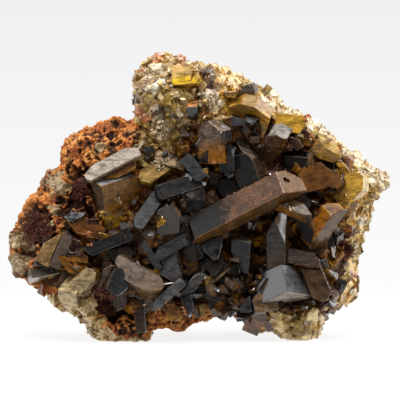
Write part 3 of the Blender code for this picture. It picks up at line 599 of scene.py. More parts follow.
def new_piece(name, points, faces, finish, slot, smooth=False):
    """A mesh in metres that rides with the cluster."""
    mesh = bpy.data.meshes.new(name)
    mesh.from_pydata(points.tolist(), [], faces)
    mesh.materials.append(finish)
    if smooth:
        mesh.shade_smooth()
    mesh.update()
    piece = bpy.data.objects.new(name, mesh)
    bpy.context.scene.collection.objects.link(piece)
    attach(piece, "root")
    return piece


def unit_crystal(cuts, edge=0.06):
    """Points and faces of a crystal one unit long along Z, wide and thick, with its root at the
    origin. Each cut is a plane: its normal, and how far along that normal it lies."""
    bm = bmesh.new()
    bmesh.ops.create_cube(bm, size=1.0, matrix=Matrix.Translation((0.0, 0.0, 0.5)))
    for normal, distance in cuts:
        normal = Vector(normal).normalized()
        geometry = bm.verts[:] + bm.edges[:] + bm.faces[:]
        bmesh.ops.bisect_plane(bm, geom=geometry, dist=1e-5, plane_co=normal * distance,
                               plane_no=normal, clear_outer=True)
        rim = [e for e in bm.edges if e.is_boundary]
        bmesh.ops.holes_fill(bm, edges=rim)
    bmesh.ops.bevel(bm, geom=bm.edges[:], offset=edge, segments=1, affect="EDGES",
                    clamp_overlap=True)
    bmesh.ops.recalc_face_normals(bm, faces=bm.faces[:])
    bm.verts.index_update()
    points = np.array([v.co[:] for v in bm.verts])
    faces = [[v.index for v in face.verts] for face in bm.faces]
    bm.free()
    return points, faces


CRYSTAL_SHAPES = (
    unit_crystal((((0.9, 0.0, 1.0), 0.86), ((-0.7, 0.0, 1.0), 0.90)), 0.03),
    unit_crystal((((0.6, 0.5, 1.0), 0.94), ((-0.9, 0.1, 1.0), 0.80)), 0.03),
    unit_crystal((((0.2, -0.8, 1.0), 0.86), ((0.8, 0.6, 0.5), 0.62)), 0.03),
    unit_crystal((((1.6, 0.0, 1.0), 0.66), ((-1.2, 0.3, 1.0), 0.70), ((0.0, 1.0, 0.8), 0.84)),
                 0.03),
    unit_crystal((((2.4, 0.3, 1.0), 0.52), ((-2.0, 0.0, 1.0), 0.56), ((0.1, -1.2, 1.0), 0.78)),
                 0.03),
)
GRAIN_SHAPES = (
    unit_crystal((((1.0, 1.0, 1.0), 0.86), ((-1.0, 0.4, 0.8), 0.66)), 0.05),
    unit_crystal((((-1.0, 0.6, 1.2), 0.80), ((0.9, -0.9, 0.2), 0.50)), 0.05),
    unit_crystal((((0.5, 0.1, 1.0), 0.90), ((0.1, 0.9, 0.9), 0.72)), 0.05),
)
FIBRE_SHAPE = unit_crystal((((4.0, 0.0, 1.0), 0.40), ((-4.0, 0.0, 1.0), 0.40)), 0.12)

# Zones in the front view: across, down, radius
MATRIX_ZONES = {
    "dark": ((38, 228, 18), (82, 186, 13), (76, 202, 9), (84, 214, 8), (28, 254, 8), (33, 212, 8),
             (98, 290, 9), (112, 306, 13), (232, 290, 19), (207, 296, 9), (66, 216, 7),
             (124, 192, 4), (102, 178, 5)),
    "pale": ((57, 184, 10), (54, 209, 6), (20, 240, 9), (21, 264, 9), (48, 224, 3),
             (101, 150, 5)),
}
RIM_ZONES = {
    # The white circles along the upper right edge of the rim are partly a painted highlight.
    "white": ((316, 131, 6), (330, 143, 6), (343, 157, 6), (158, 68, 7), (147, 77, 5), (166, 73, 5), (150, 92, 5), (160, 124, 8),
              (166, 133, 6), (162, 139, 4), (138, 146, 6), (208, 97, 6), (216, 104, 7),
              (223, 102, 5), (270, 104, 9), (290, 111, 9), (308, 119, 9), (326, 130, 9),
              (344, 146, 9), (358, 160, 9), (372, 172, 9), (384, 181, 8), (365, 178, 6),
              (352, 212, 5), (362, 222, 5)),
    "gold": ((184, 80, 9), (225, 94, 9), (232, 106, 9), (340, 180, 8), (352, 194, 14),
             (264, 322, 10), (336, 290, 7), (300, 122, 9), (322, 150, 9)),
    "olive": ((172, 96, 12), (176, 108, 12), (168, 118, 8), (182, 130, 9), (175, 142, 8),
              (150, 148, 10), (163, 146, 6), (21, 264, 9), (356, 250, 10), (300, 326, 12)),
    "brown": ((145, 86, 6), (156, 85, 5), (141, 100, 6), (157, 109, 6), (190, 125, 7),
              (190, 136, 7), (208, 76, 9), (216, 86, 6), (340, 262, 8), (328, 312, 8)),
    "rust": ((159, 55, 8), (181, 60, 5), (134, 68, 6), (132, 84, 5), (132, 100, 6),
             (138, 110, 6), (145, 118, 6), (268, 100, 2), (295, 112, 3), (305, 118, 3),
             (340, 240, 7), (342, 258, 6), (352, 275, 4)),
}


class Heap:
    """Many small solids gathered into one piece."""

    def __init__(self):
        self.points = []
        self.faces = []
        self.count = 0

    def add(self, shape, root, along, spin, size):
        """Sets a shape with its root at a place. Its size is its width, thickness and length."""
        points, faces = shape
        turn = along.to_track_quat("Z", "Y").to_matrix() @ Matrix.Rotation(spin, 3, "Z")
        placed = (points * np.array(size)) @ np.array(turn).T + np.array(root)
        self.points.append(placed)
        self.faces.extend([i + self.count for i in face] for face in faces)
        self.count += len(points)

    def piece(self, name, finish, slot):
        return new_piece(name, in_box(np.vstack(self.points)), self.faces, finish, slot)


def surface_of(names, pieces=()):
    """A surface to place things on, made of some of the cluster's solids and other pieces."""
    points = []
    faces = []
    for mesh in [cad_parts[name].data for name in names] + [each.data for each in pieces]:
        shift = len(points)
        points.extend(vertex.co.copy() for vertex in mesh.vertices)
        faces.extend([i + shift for i in polygon.vertices] for polygon in mesh.polygons)
    return BVHTree.FromPolygons(points, faces)


def even_mesh(name, voxel):
    """Points, normals and faces of a solid's surface as an even grid of small faces."""
    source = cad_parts[name]
    copy = bpy.data.objects.new("even_" + name, source.data.copy())
    bpy.context.scene.collection.objects.link(copy)
    remesh = copy.modifiers.new("even", "REMESH")
    remesh.mode = "VOXEL"
    remesh.voxel_size = voxel * MM
    graph = bpy.context.evaluated_depsgraph_get()
    mesh = bpy.data.meshes.new_from_object(copy.evaluated_get(graph))
    points = np.zeros(len(mesh.vertices) * 3)
    mesh.vertices.foreach_get("co", points)
    normals = np.zeros(len(mesh.vertices) * 3)
    mesh.vertex_normals.foreach_get("vector", normals)
    faces = [list(polygon.vertices) for polygon in mesh.polygons]
    bpy.data.objects.remove(copy)
    bpy.data.meshes.remove(mesh)
    return points.reshape(-1, 3), normals.reshape(-1, 3), faces


def store(piece, name, values):
    """Keeps a value at each point of a piece's mesh for its finish to read."""
    attribute = piece.data.attributes.new(name, "FLOAT", "POINT")
    attribute.data.foreach_set("value", np.asarray(values, np.float32))


def in_box(points):
    return np.clip(points, np.array(cad_box[0]), np.array(cad_box[1]))


def soft_step(low, high, value):
    share = np.clip((value - low) / (high - low), 0.0, 1.0)
    return share * share * (3.0 - 2.0 * share)


def zone_shares(points, normals, zones):
    """How much each point lies in each kind of zone of the front view."""
    seen = np.array([place_in_view(Vector(point)) for point in points])
    wobble = np.array([noise.noise(Vector(point) / (1.7 * MM)) for point in points])
    front = soft_step(0.5, 0.1, normals[:, 1])
    shares = {}
    for kind, circles in zones.items():
        share = np.zeros(len(points))
        for across, down, radius in circles:
            away = np.hypot(seen[:, 0] - across, seen[:, 1] - down) / radius
            share = np.maximum(share, soft_step(1.20, 0.90, away + 0.9 * wobble))
        shares[kind] = share * front
    return seen, shares


def make_matrix():
    """The limonite as a sponge: thin walls round pores of two sizes. In the hollow it is lumpy
    and has few pores. Dark cavities are carved in, and pale crusts stand out."""
    noise.seed_set(LUMP_SEED)
    large = surface_of(SLOTS_OF_NODES)
    points, normals, faces = even_mesh("limonite_matrix", MATRIX_VOXEL)
    seen, shares = zone_shares(points, normals, MATRIX_ZONES)
    dark = shares["dark"]
    pale = shares["pale"]
    pits = np.zeros(len(points))
    hollow = np.zeros(len(points))
    moved = points.copy()
    for i, (point, normal) in enumerate(zip(points, normals)):
        place = Vector(point) / MM
        if normal[1] < 0.3 and inside(HOLLOW, *seen[i]):
            hollow[i] = 1.0
        sway = noise.noise_vector(place / 1.2) * 0.40
        lumps = 1.1 * noise.noise(place / 5.0) + 0.70 * noise.noise(place / 2.2)
        lumps += 0.35 * noise.noise(place / 0.9)
        near, next_near = noise.voronoi((place + sway) / 1.35)[0][:2]
        pore = soft_step(0.08, 0.38, next_near - near)
        wide = soft_step(0.55, 0.25, noise.voronoi((place + sway) / 2.7)[0][0])
        gate = soft_step(-0.45, 0.0, noise.noise(place / 4.0))
        pit = (0.95 * pore + 0.8 * wide) * (0.35 + 0.65 * gate)
        pit *= (1.0 - 0.75 * hollow[i]) * (1.0 - 0.6 * pale[i])
        base = soft_step(-0.6, -0.85, normal[2]) * soft_step(0.8, 0.2, place.z)
        carve = 1.9 * dark[i] - 0.5 * pale[i]
        moved[i] = point + normal * (lumps + 0.45 - pit - carve) * (1.0 - base) * MM
        if normal[1] < 0.3 and place.z > 3.0 and covers(large, Vector(moved[i])):
            moved[i] = point - normal * (0.9 + 0.5 * pit) * MM
        pits[i] = pit / 1.6
    piece = new_piece("limonite_sponge", in_box(moved), faces, limonite_finish(), "limonite")
    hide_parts("limonite_matrix")
    store(piece, "pit", np.clip(pits, 0.0, 1.0))
    store(piece, "hollow", hollow * (1.0 - dark))
    store(piece, "dark", dark)
    store(piece, "pale", pale)


def make_masses():
    """Each mass of pale barite with flat cleavage faces all over it."""
    tones = {
        "crown_barite": ((0.54, 0.37, 0.145), (0.24, 0.130, 0.028)),
        "top_barite": ((0.88, 0.65, 0.32), (0.54, 0.32, 0.090)),
        "upper_rim_barite": ((0.80, 0.57, 0.21), (0.50, 0.27, 0.045)),
        "right_rim_barite": ((0.98, 0.77, 0.37), (0.74, 0.45, 0.13)),
        "right_base_barite": ((0.98, 0.80, 0.45), (0.74, 0.49, 0.18)),
        "left_fringe_barite": ((0.86, 0.68, 0.38), (0.52, 0.34, 0.125)),
    }
    rng = random.Random(11)
    large = surface_of(SLOTS_OF_NODES)
    for name, (bright, warm) in tones.items():
        points, normals, faces = even_mesh(name, MASS_VOXEL)
        _, shares = zone_shares(points, normals, RIM_ZONES)
        seeds = rng.sample(range(len(points)), max(len(points) // 32, 8))
        tree = KDTree(len(seeds))
        planes = []
        for number, seed in enumerate(seeds):
            tilt = Vector([rng.uniform(-0.6, 0.6) for _ in range(3)])
            planes.append((Vector(points[seed]), (Vector(normals[seed]) + tilt).normalized()))
            tree.insert(points[seed], number)
        tree.balance()
        moved = points.copy()
        for i, (point, normal) in enumerate(zip(points, normals)):
            start = Vector(point)
            out = Vector(normal)
            least = 1.2
            for _, number, _ in tree.find_n(start, 3):
                corner, plane = planes[number]
                slope = out.dot(plane)
                if slope > 0.3:
                    least = min(least, (corner - start).dot(plane) / slope / MM)
            base = soft_step(-0.6, -0.85, normal[2]) * soft_step(0.8, 0.2, point[2] / MM)
            rise = max(least, -1.1) + 0.30
            moved[i] = point + normal * rise * (1.0 - base) * MM
            if normal[1] < 0.3 and point[2] > 3.0 * MM and covers(large, Vector(moved[i])):
                moved[i] = point - normal * 0.7 * MM
        piece = new_piece("sugary_" + name, in_box(moved), faces,
                          sugary_finish(name + "_sugar", bright, warm), "massive_barite")
        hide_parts(name)
        for kind, share in shares.items():
            store(piece, kind, share)


def grow_crystal(name, finish, edges):
    """A modelled crystal with chipped corners, worn edges, and growth plates on its faces."""
    bm = bmesh.new()
    bm.from_mesh(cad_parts[name].data)
    bmesh.ops.remove_doubles(bm, verts=bm.verts[:], dist=0.002 * MM)
    bmesh.ops.dissolve_limit(bm, angle_limit=math.radians(1.0), verts=bm.verts[:],
                             edges=bm.edges[:])
    wear(bm, random.Random(name))
    piece = worn_piece(bm, name + "_grown", finish, edges, SLOTS_OF_NODES[name])
    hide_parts(name)
    return piece


def wear(bm, rng):
    """Chips two corners of a crystal, wears its edges and adds growth plates. What is worn takes
    the second finish."""
    corners = [v for v in bm.verts if len(v.link_edges) == 3
               and min(edge.calc_length() for edge in v.link_edges) > 1.6 * MM]
    chipped = rng.sample(corners, min(2, len(corners)))
    if chipped:
        bmesh.ops.bevel(bm, geom=chipped, offset=rng.uniform(0.3, 0.7) * MM, segments=1,
                        affect="VERTICES")
    sharp = [e for e in bm.edges if len(e.link_faces) == 2
             and e.calc_face_angle() > math.radians(20.0) and e.calc_length() > 0.5 * MM]
    worn = bmesh.ops.bevel(bm, geom=sharp, offset=0.10 * MM, segments=1, affect="EDGES",
                           clamp_overlap=True)
    for face in worn["faces"]:
        face.material_index = 1 if rng.random() < 0.55 else 0
    planes = []
    for face in sorted(bm.faces, key=lambda face: -face.calc_area())[:6]:
        if face.calc_area() > 5.0 * MM * MM:
            edge = max(face.edges, key=lambda edge: edge.calc_length())
            way = (edge.verts[0].co - edge.verts[1].co).normalized()
            planes.append((face.calc_center_median(), face.normal.copy(), way))
    for centre, normal, way in planes:
        add_growth_plates(bm, rng, centre, normal, way)


def worn_piece(bm, name, finish, edges, slot):
    bm.verts.index_update()
    points = np.array([v.co[:] for v in bm.verts])
    faces = [[v.index for v in face.verts] for face in bm.faces]
    marks = [face.material_index for face in bm.faces]
    bm.free()
    piece = new_piece(name, in_box(points), faces, finish, slot)
    piece.data.materials.append(edges)
    piece.data.polygons.foreach_set("material_index", marks)
    return piece


def add_growth_plates(bm, rng, centre, normal, way):
    """Splits a flat face into strips along its longest edge, and raises or lowers some."""
    across = normal.cross(way).normalized()
    cuts = [across] * rng.randint(1, 3) + [normal.cross(across).normalized()] * rng.randint(0, 1)
    for cut in cuts:
        flat = level_faces(bm, centre, normal)
        if not flat:
            return
        reach = max(abs((v.co - centre).dot(cut)) for face in flat for v in face.verts)
        spot = centre + cut * rng.uniform(-0.8, 0.8) * reach
        geometry = set(flat)
        for face in flat:
            geometry.update(face.edges)
            geometry.update(face.verts)
        bmesh.ops.bisect_plane(bm, geom=list(geometry), dist=0.02 * MM, plane_co=spot,
                               plane_no=cut)
    strips = [face for face in level_faces(bm, centre, normal)
              if face.calc_area() > 1.0 * MM * MM and rng.random() < 0.6]
    if strips:
        bmesh.ops.inset_individual(bm, faces=strips, thickness=0.05 * MM,
                                   depth=rng.choice((-0.03, 0.03, 0.04)) * MM)


def level_faces(bm, centre, normal):
    return [face for face in bm.faces if face.normal.dot(normal) > 0.9998
            and abs((face.calc_center_median() - centre).dot(normal)) < 0.01 * MM]


SLOTS = {"slate": "dark_barite", "grey": "grey_barite", "charcoal": "dark_barite",
         "umber": "brown_barite", "amber": "amber_barite", "gold": "amber_barite",
         "ochre": "amber_barite", "rose": "pale_barite", "frost": "pale_barite",
         "lemon": "pale_barite", "honey": "amber_barite", "sugar": "pale_barite",
         "straw": "pale_barite", "russet": "brown_barite", "taupe": "brown_barite"}
SLOTS_OF_NODES = {name: SLOTS[look] for look, names in CRYSTAL_LOOKS.items() for name in names}
SLOTS_OF_NODES["great_prism"] = "brown_barite"


def grow_large_crystals():
    """All the modelled crystals, each with its own finish."""
    for look, names in CRYSTAL_LOOKS.items():
        for name in names:
            finish = crystal_finish(name + "_finish", LOOKS[look], FACE_LIGHT_AND_TONES.get(name, ()),
                                    PAINTED_GLOW_BELOW.get(name))
            grow_crystal(name, finish, edge_finish(look))
    rusty_edges = worn_edge_finish("rusty_worn_edges", (0.50, 0.23, 0.085), (0.18, 0.070, 0.022))
    prism = grow_crystal("great_prism", rusty_prism_finish(), rusty_edges)
    bore_hole(prism, HOLE_IN_PRISM)


def edge_finish(look):
    """The finish of worn edges that goes with a look."""
    for name, colour, dark, looks in (
            ("grey_worn_edges", (0.15, 0.14, 0.13), (0.05, 0.036, 0.026),
             ("slate", "grey", "charcoal")),
            ("gold_worn_edges", (0.72, 0.44, 0.085), (0.26, 0.10, 0.016),
             ("amber", "gold", "ochre", "honey", "straw")),
            ("pale_worn_edges", (0.32, 0.20, 0.12), (0.11, 0.045, 0.018), LOOKS)):
        if look in looks:
            return bpy.data.materials.get(name) or worn_edge_finish(name, colour, dark)


# The oval hole in the end of the great prism: across, down, its half width, height and depth in
# millimetres
HOLE_IN_PRISM = (286.5, 180.0, (0.95, 1.2, 0.6))


def bore_hole(piece, hole):
    across, down, radii = hole
    eye, direction = sight_line(across, down)
    surface = BVHTree.FromPolygons([v.co for v in piece.data.vertices],
                                   [list(p.vertices) for p in piece.data.polygons])
    spot = surface.ray_cast(eye, direction)[0]
    bm = bmesh.new()
    bmesh.ops.create_icosphere(bm, subdivisions=3, radius=MM)
    place = Matrix.Translation(spot) @ Matrix.Rotation(math.radians(35.0), 4, "Y")
    bmesh.ops.transform(bm, matrix=place @ Matrix.Diagonal((*radii, 1.0)), verts=bm.verts)
    mesh = bpy.data.meshes.new("hole_cutter")
    bm.to_mesh(mesh)
    bm.free()
    cutter = bpy.data.objects.new("hole_cutter", mesh)
    bpy.context.scene.collection.objects.link(cutter)
    cut = piece.modifiers.new("hole", "BOOLEAN")
    cut.operation = "DIFFERENCE"
    cut.object = cutter
    cut.solver = "EXACT"
    graph = bpy.context.evaluated_depsgraph_get()
    piece.data = bpy.data.meshes.new_from_object(piece.evaluated_get(graph))
    piece.modifiers.clear()
    bpy.data.objects.remove(cutter)
    bpy.data.meshes.remove(mesh)


# Crystals set by the outline of their front face in the front view: a look, how far the face
# stands in front of the rock, how much it leans to the right and upwards, and its outline
FACED_CRYSTALS = (
    ("amber", 6.0, (0.3, -0.1), ((192, 70), (203, 71), (199, 80), (190, 81))),
    ("taupe", 5.5, (0.3, -0.4), ((235, 97), (247, 84), (256, 88), (249, 96), (238, 99))),
    ("gold", 4.5, (-0.2, -0.3), ((222, 92), (236, 91), (240, 88), (235, 98), (226, 97))),
    ("umber", 2.6, (0.2, -0.3), ((243, 119), (257, 118), (260, 138), (248, 141), (242, 131))),
    ("slate", 3.4, (-0.2, 0.2), ((232, 117), (247, 120), (242, 125), (231, 127))),
    ("umber", 1.8, (-0.3, 0.2), ((222, 119), (233, 117), (234, 130), (228, 133), (220, 127))),
    ("gold", 2.2, (-0.2, -0.3), ((257, 118), (270, 119), (267, 130), (262, 140), (257, 133))),
    ("taupe", 3.4, (0.0, 0.4), ((250, 137), (259, 137), (259, 143), (250, 143))),
    ("rose", 3.0, (0.5, 0.4), ((234, 132), (241, 133), (250, 147), (248, 156), (241, 153))),
    ("umber", 2.0, (0.3, -0.1), ((248, 144), (262, 141), (264, 155), (270, 160), (264, 172),
                                 (252, 158))),
    ("taupe", 2.0, (-0.2, 0.3), ((281, 144), (287, 139), (292, 142), (293, 151), (282, 152))),
    ("russet", 3.2, (-0.3, -0.2), ((289, 136), (298, 139), (304, 147), (298, 151), (291, 147))),
    ("russet", 3.4, (0.2, 0.3), ((297, 132), (304, 129), (317, 137), (313, 147), (303, 143))),
    ("amber", 4.2, (-0.3, 0.0), ((304, 138), (312, 139), (310, 147), (303, 145))),
    ("ochre", 3.2, (-0.1, -0.3), ((318, 138), (327, 148), (342, 157), (334, 163), (320, 159),
                                  (308, 151), (313, 146))),
    ("gold", 3.6, (0.2, 0.2), ((334, 160), (342, 161), (351, 172), (346, 179), (339, 169))),
    ("rose", 2.4, (0.3, 0.3), ((306, 153), (331, 162), (318, 166), (306, 170))),
    ("umber", 4.4, (-0.2, 0.6), ((280, 152), (304, 153), (304, 159), (281, 158))),
    ("taupe", 2.6, (0.0, -0.2), ((297, 198), (307, 197), (307, 206), (299, 206))),
    ("frost", 4.0, (0.5, 0.2), ((147, 174), (158, 161), (163, 150), (167, 151), (161, 164),
                                (150, 176))),
    ("honey", 2.4, (0.1, 0.3), ((163, 155), (178, 155), (185, 168), (175, 165), (162, 161))),
    ("umber", 2.2, (0.0, -0.4), ((160, 163), (175, 166), (182, 170), (164, 169))),
    ("honey", 2.4, (-0.4, 0.1), ((183, 149), (190, 157), (201, 168), (207, 175), (200, 176),
                                 (186, 161))),
    ("gold", 3.0, (0.1, -0.2), ((202, 169), (208, 168), (208, 176), (203, 175))),
    ("umber", 2.2, (0.0, 0.3), ((208, 170), (230, 172), (216, 182), (205, 187))),
    ("umber", 2.0, (0.1, -0.2), ((182, 193), (205, 190), (207, 200), (185, 202))),
    ("taupe", 2.2, (-0.4, -0.2), ((157, 207), (166, 213), (164, 229), (151, 223))),
    ("lemon", 3.2, (0.2, 0.2), ((156, 216), (161, 217), (164, 224), (159, 226))),
    ("umber", 2.0, (0.1, 0.1), ((128, 229), (150, 228), (166, 233), (148, 238), (132, 240))),
    ("amber", 2.4, (0.1, 0.4), ((146, 237), (165, 235), (168, 239), (155, 248), (149, 245))),
    ("russet", 2.2, (0.2, -0.2), ((170, 255), (185, 246), (189, 257), (176, 261))),
    ("charcoal", 2.8, (0.2, -0.2), ((186, 240), (203, 246), (203, 255), (193, 261), (188, 251))),
    ("umber", 2.6, (-0.1, 0.2), ((202, 240), (212, 231), (223, 236), (221, 247), (206, 246))),
    ("slate", 2.6, (0.1, 0.3), ((199, 262), (222, 261), (229, 264), (226, 271), (214, 277),
                                (206, 270))),
    ("amber", 2.0, (0.1, 0.2), ((181, 262), (199, 262), (198, 268), (188, 276), (182, 272))),
    ("rose", 2.6, (0.0, 0.1), ((205, 285), (214, 284), (219, 292), (215, 298), (206, 293))),
    ("honey", 2.2, (0.2, 0.2), ((204, 276), (216, 275), (223, 279), (215, 284), (205, 286))),
    ("rose", 3.6, (-0.5, 0.2), ((205, 284), (217, 277), (228, 268), (230, 269), (219, 279),
                                 (206, 287))),
    ("charcoal", 2.6, (0.1, 0.0), ((208, 297), (218, 295), (217, 310), (209, 311))),
    ("rose", 2.8, (-0.3, -0.3), ((190, 307), (196, 305), (200, 317), (195, 318))),
    ("honey", 2.4, (0.2, -0.2), ((199, 305), (206, 303), (205, 317), (200, 317))),
    ("umber", 2.2, (0.0, -0.3), ((128, 292), (150, 299), (166, 300), (160, 311), (144, 312),
                                 (130, 304))),
    ("slate", 3.0, (-0.3, 0.0), ((239, 306), (250, 296), (252, 312), (240, 313))),
    ("slate", 2.4, (0.0, 0.5), ((63, 217), (72, 212), (86, 212), (84, 216), (70, 223))),
    ("gold", 2.8, (0.0, 0.4), ((66, 226), (73, 221), (86, 217), (86, 220), (75, 225), (67, 230))),
    ("rose", 2.2, (0.0, -0.2), ((69, 226), (83, 221), (77, 231), (67, 230))),
    ("gold", 3.0, (-0.3, 0.2), ((76, 229), (81, 224), (87, 221), (85, 228), (80, 233))),
    ("umber", 2.4, (0.2, 0.0), ((86, 219), (98, 219), (101, 228), (98, 233), (88, 231))),
    ("gold", 2.6, (0.0, -0.3), ((98, 232), (108, 235), (107, 240), (101, 239))),
    ("umber", 2.4, (0.2, 0.0), ((71, 238), (80, 241), (86, 252), (70, 253), (67, 249))),
    ("amber", 2.8, (0.1, 0.2), ((68, 254), (77, 252), (88, 256), (89, 262), (80, 264), (72, 261))),
    ("slate", 3.2, (-0.2, 0.3), ((64, 257), (70, 258), (79, 266), (74, 272), (66, 266))),
    ("taupe", 2.4, (0.0, 0.4), ((33, 259), (41, 256), (51, 260), (62, 262), (60, 266),
                                (37, 266))),
    ("honey", 2.4, (0.2, -0.3), ((46, 276), (58, 268), (68, 265), (73, 270), (61, 280),
                                 (49, 279))),
    ("charcoal", 2.4, (0.0, 0.0), ((94, 252), (104, 252), (101, 263), (97, 262))),
    ("taupe", 2.4, (0.1, 0.2), ((105, 251), (128, 246), (134, 252), (130, 262), (112, 260))),
    ("rose", 2.6, (0.2, 0.1), ((102, 262), (112, 262), (110, 282), (103, 278))),
    ("umber", 2.2, (0.1, 0.1), ((300, 228), (310, 224), (318, 240), (322, 253), (302, 250))),
    ("slate", 2.8, (0.3, 0.0), ((327, 236), (333, 232), (335, 250), (329, 252))),
    ("amber", 2.4, (0.2, -0.2), ((323, 238), (328, 236), (330, 254), (324, 254))),
)


def grow_faced_crystals(looks):
    """The crystals set by the outline of their front face. Each reaches back into the rock."""
    rock = surface_of(("limonite_matrix",) + MASSES)
    gathered = {}
    for number, (look, rise, lean, outline) in enumerate(FACED_CRYSTALS):
        bm = faced_crystal(rock, rise, lean, outline)
        wear(bm, random.Random(number))
        solid = bpy.data.meshes.new("solid")
        bm.to_mesh(solid)
        bm.free()
        gathered.setdefault(look, bmesh.new()).from_mesh(solid)
        bpy.data.meshes.remove(solid)
    return [worn_piece(bm, "faced_" + look + "_crystals", looks[look], edge_finish(look),
                       SLOTS[look]) for look, bm in gathered.items()]


def faced_crystal(rock, rise, lean, outline):
    """The tapering body behind a front face."""
    across = sum(corner[0] for corner in outline) / len(outline)
    down = sum(corner[1] for corner in outline) / len(outline)
    eye, direction = sight_line(across, down)
    met = rock.ray_cast(eye, direction)[0]
    spot = met - direction * rise * MM
    normal = Vector((lean[0], -1.0, lean[1])).normalized()
    bm = bmesh.new()
    front = []
    for corner in outline:
        eye, way = sight_line(*corner)
        reach = (spot - eye).dot(normal) / way.dot(normal)
        front.append(bm.verts.new(eye + way * reach))
    back = []
    for vertex in front:
        inwards = (spot - vertex.co) * 0.25
        inwards.y = (spot.y - vertex.co.y) + FACED_DEPTH * MM
        back.append(bm.verts.new(vertex.co + inwards))
    bm.faces.new(front)
    bm.faces.new(back[::-1])
    for i in range(len(front)):
        bm.faces.new((front[i - 1], front[i], back[i], back[i - 1]))
    bmesh.ops.recalc_face_normals(bm, faces=bm.faces[:])
    return bm


def rooted_place(rock, across, down):
    """Where the line of sight through a place in the front view meets the rock."""
    eye, direction = sight_line(across, down)
    point, normal, _, _ = rock.ray_cast(eye, direction)
    return point, normal


def grow_small_crystals(looks, faced):
    """Fills the hollow between the other crystals with small ones, rooted in the rock and kept
    behind the others."""
    rng = random.Random(5)
    rock = surface_of(("limonite_matrix",) + MASSES)
    others = surface_of(SLOTS_OF_NODES, faced)
    heaps = {look: Heap() for look in ("slate", "charcoal", "umber", "amber", "rose")}
    cool = (0.14, 0.20, 0.46, 0.16, 0.04)
    warm = (0.04, 0.06, 0.46, 0.40, 0.04)
    for number in range(1300):
        across = rng.uniform(40, 352)
        down = rng.uniform(112, 320)
        big = number < 950
        if not inside(HOLLOW, across, down):
            continue
        point, normal = rooted_place(rock, across, down)
        if point is None:
            continue
        sway = Vector([rng.uniform(-1.0, 1.0) for _ in range(3)])
        along = (normal * 0.5 + sway * 0.9 + Vector((0.0, -0.5, 0.1))).normalized()
        length = (rng.uniform(7.0, 12.0) if big else rng.uniform(3.0, 5.0)) * MM
        width = length * (rng.uniform(0.30, 0.44) if big else rng.uniform(0.3, 0.55))
        thick = width * rng.uniform(0.5, 0.95)
        root = point - along * 0.55 * length
        tip = root + along * 0.9 * length
        corners = [tip + Vector((x, 0.0, z)) * 0.5 * width
                   for x, z in ((0, 0), (1, 0), (-1, 0), (0, 1), (0, -1))]
        if any(covers(others, corner) for corner in corners):
            continue
        sunny = across > 285 or (down > 225 and across < 115) or (down < 190 and across < 190)
        look = rng.choices(list(heaps), warm if sunny else cool)[0]
        heaps[look].add(rng.choice(CRYSTAL_SHAPES), root, along, rng.uniform(0.0, math.tau),
                        (width, thick, length))
    for look, heap in heaps.items():
        heap.piece("small_" + look + "_crystals", looks[look], SLOTS[look])


def covers(surface, point):
    """Whether a point stands in front of a surface in the front view."""
    eye, _ = sight_line(FRONT_VIEW_SIDE / 2, FRONT_VIEW_SIDE / 2)
    way = point - eye
    met = surface.ray_cast(eye, way.normalized())[0]
    return met is not None and (met - eye).length > way.length


# Fibres, crumbs and glints in the front view: across, down, reach, count
FIBRE_TUFTS = ((232, 288, 17, 420), (207, 297, 8, 70), (38, 228, 15, 240), (108, 304, 12, 220),
               (341, 250, 9, 200), (80, 190, 8, 90), (344, 232, 6, 60), (97, 290, 6, 50))
RUST_CRUMBS = ((214, 163, 2, 14), (88, 239, 7, 80), (102, 296, 5, 40), (225, 309, 5, 30),
               (172, 320, 18, 160), (268, 133, 1, 8), (295, 112, 3, 16), (308, 118, 4, 20),
               (268, 100, 2, 12), (203, 106, 3, 30), (341, 250, 10, 60), (312, 140, 7, 40),
               (205, 116, 4, 30))
# Yellow grains, some of them placed as painted golden glints.
YELLOW_GRAINS_AND_GLINTS = ((159, 221, 5, 34), (108, 222, 6, 26), (126, 216, 6, 26), (103, 214, 4, 20),
                 (340, 168, 5, 40), (344, 198, 5, 20), (264, 124, 5, 20))
WHITE_GLINTS = ((291, 208, 2, 5), (42, 230, 2, 5), (53, 223, 2, 5), (147, 304, 3, 8),
                (118, 201, 4, 6), (214, 104, 8, 60), (160, 128, 9, 60), (158, 164, 7, 40),
                (150, 74, 9, 50))


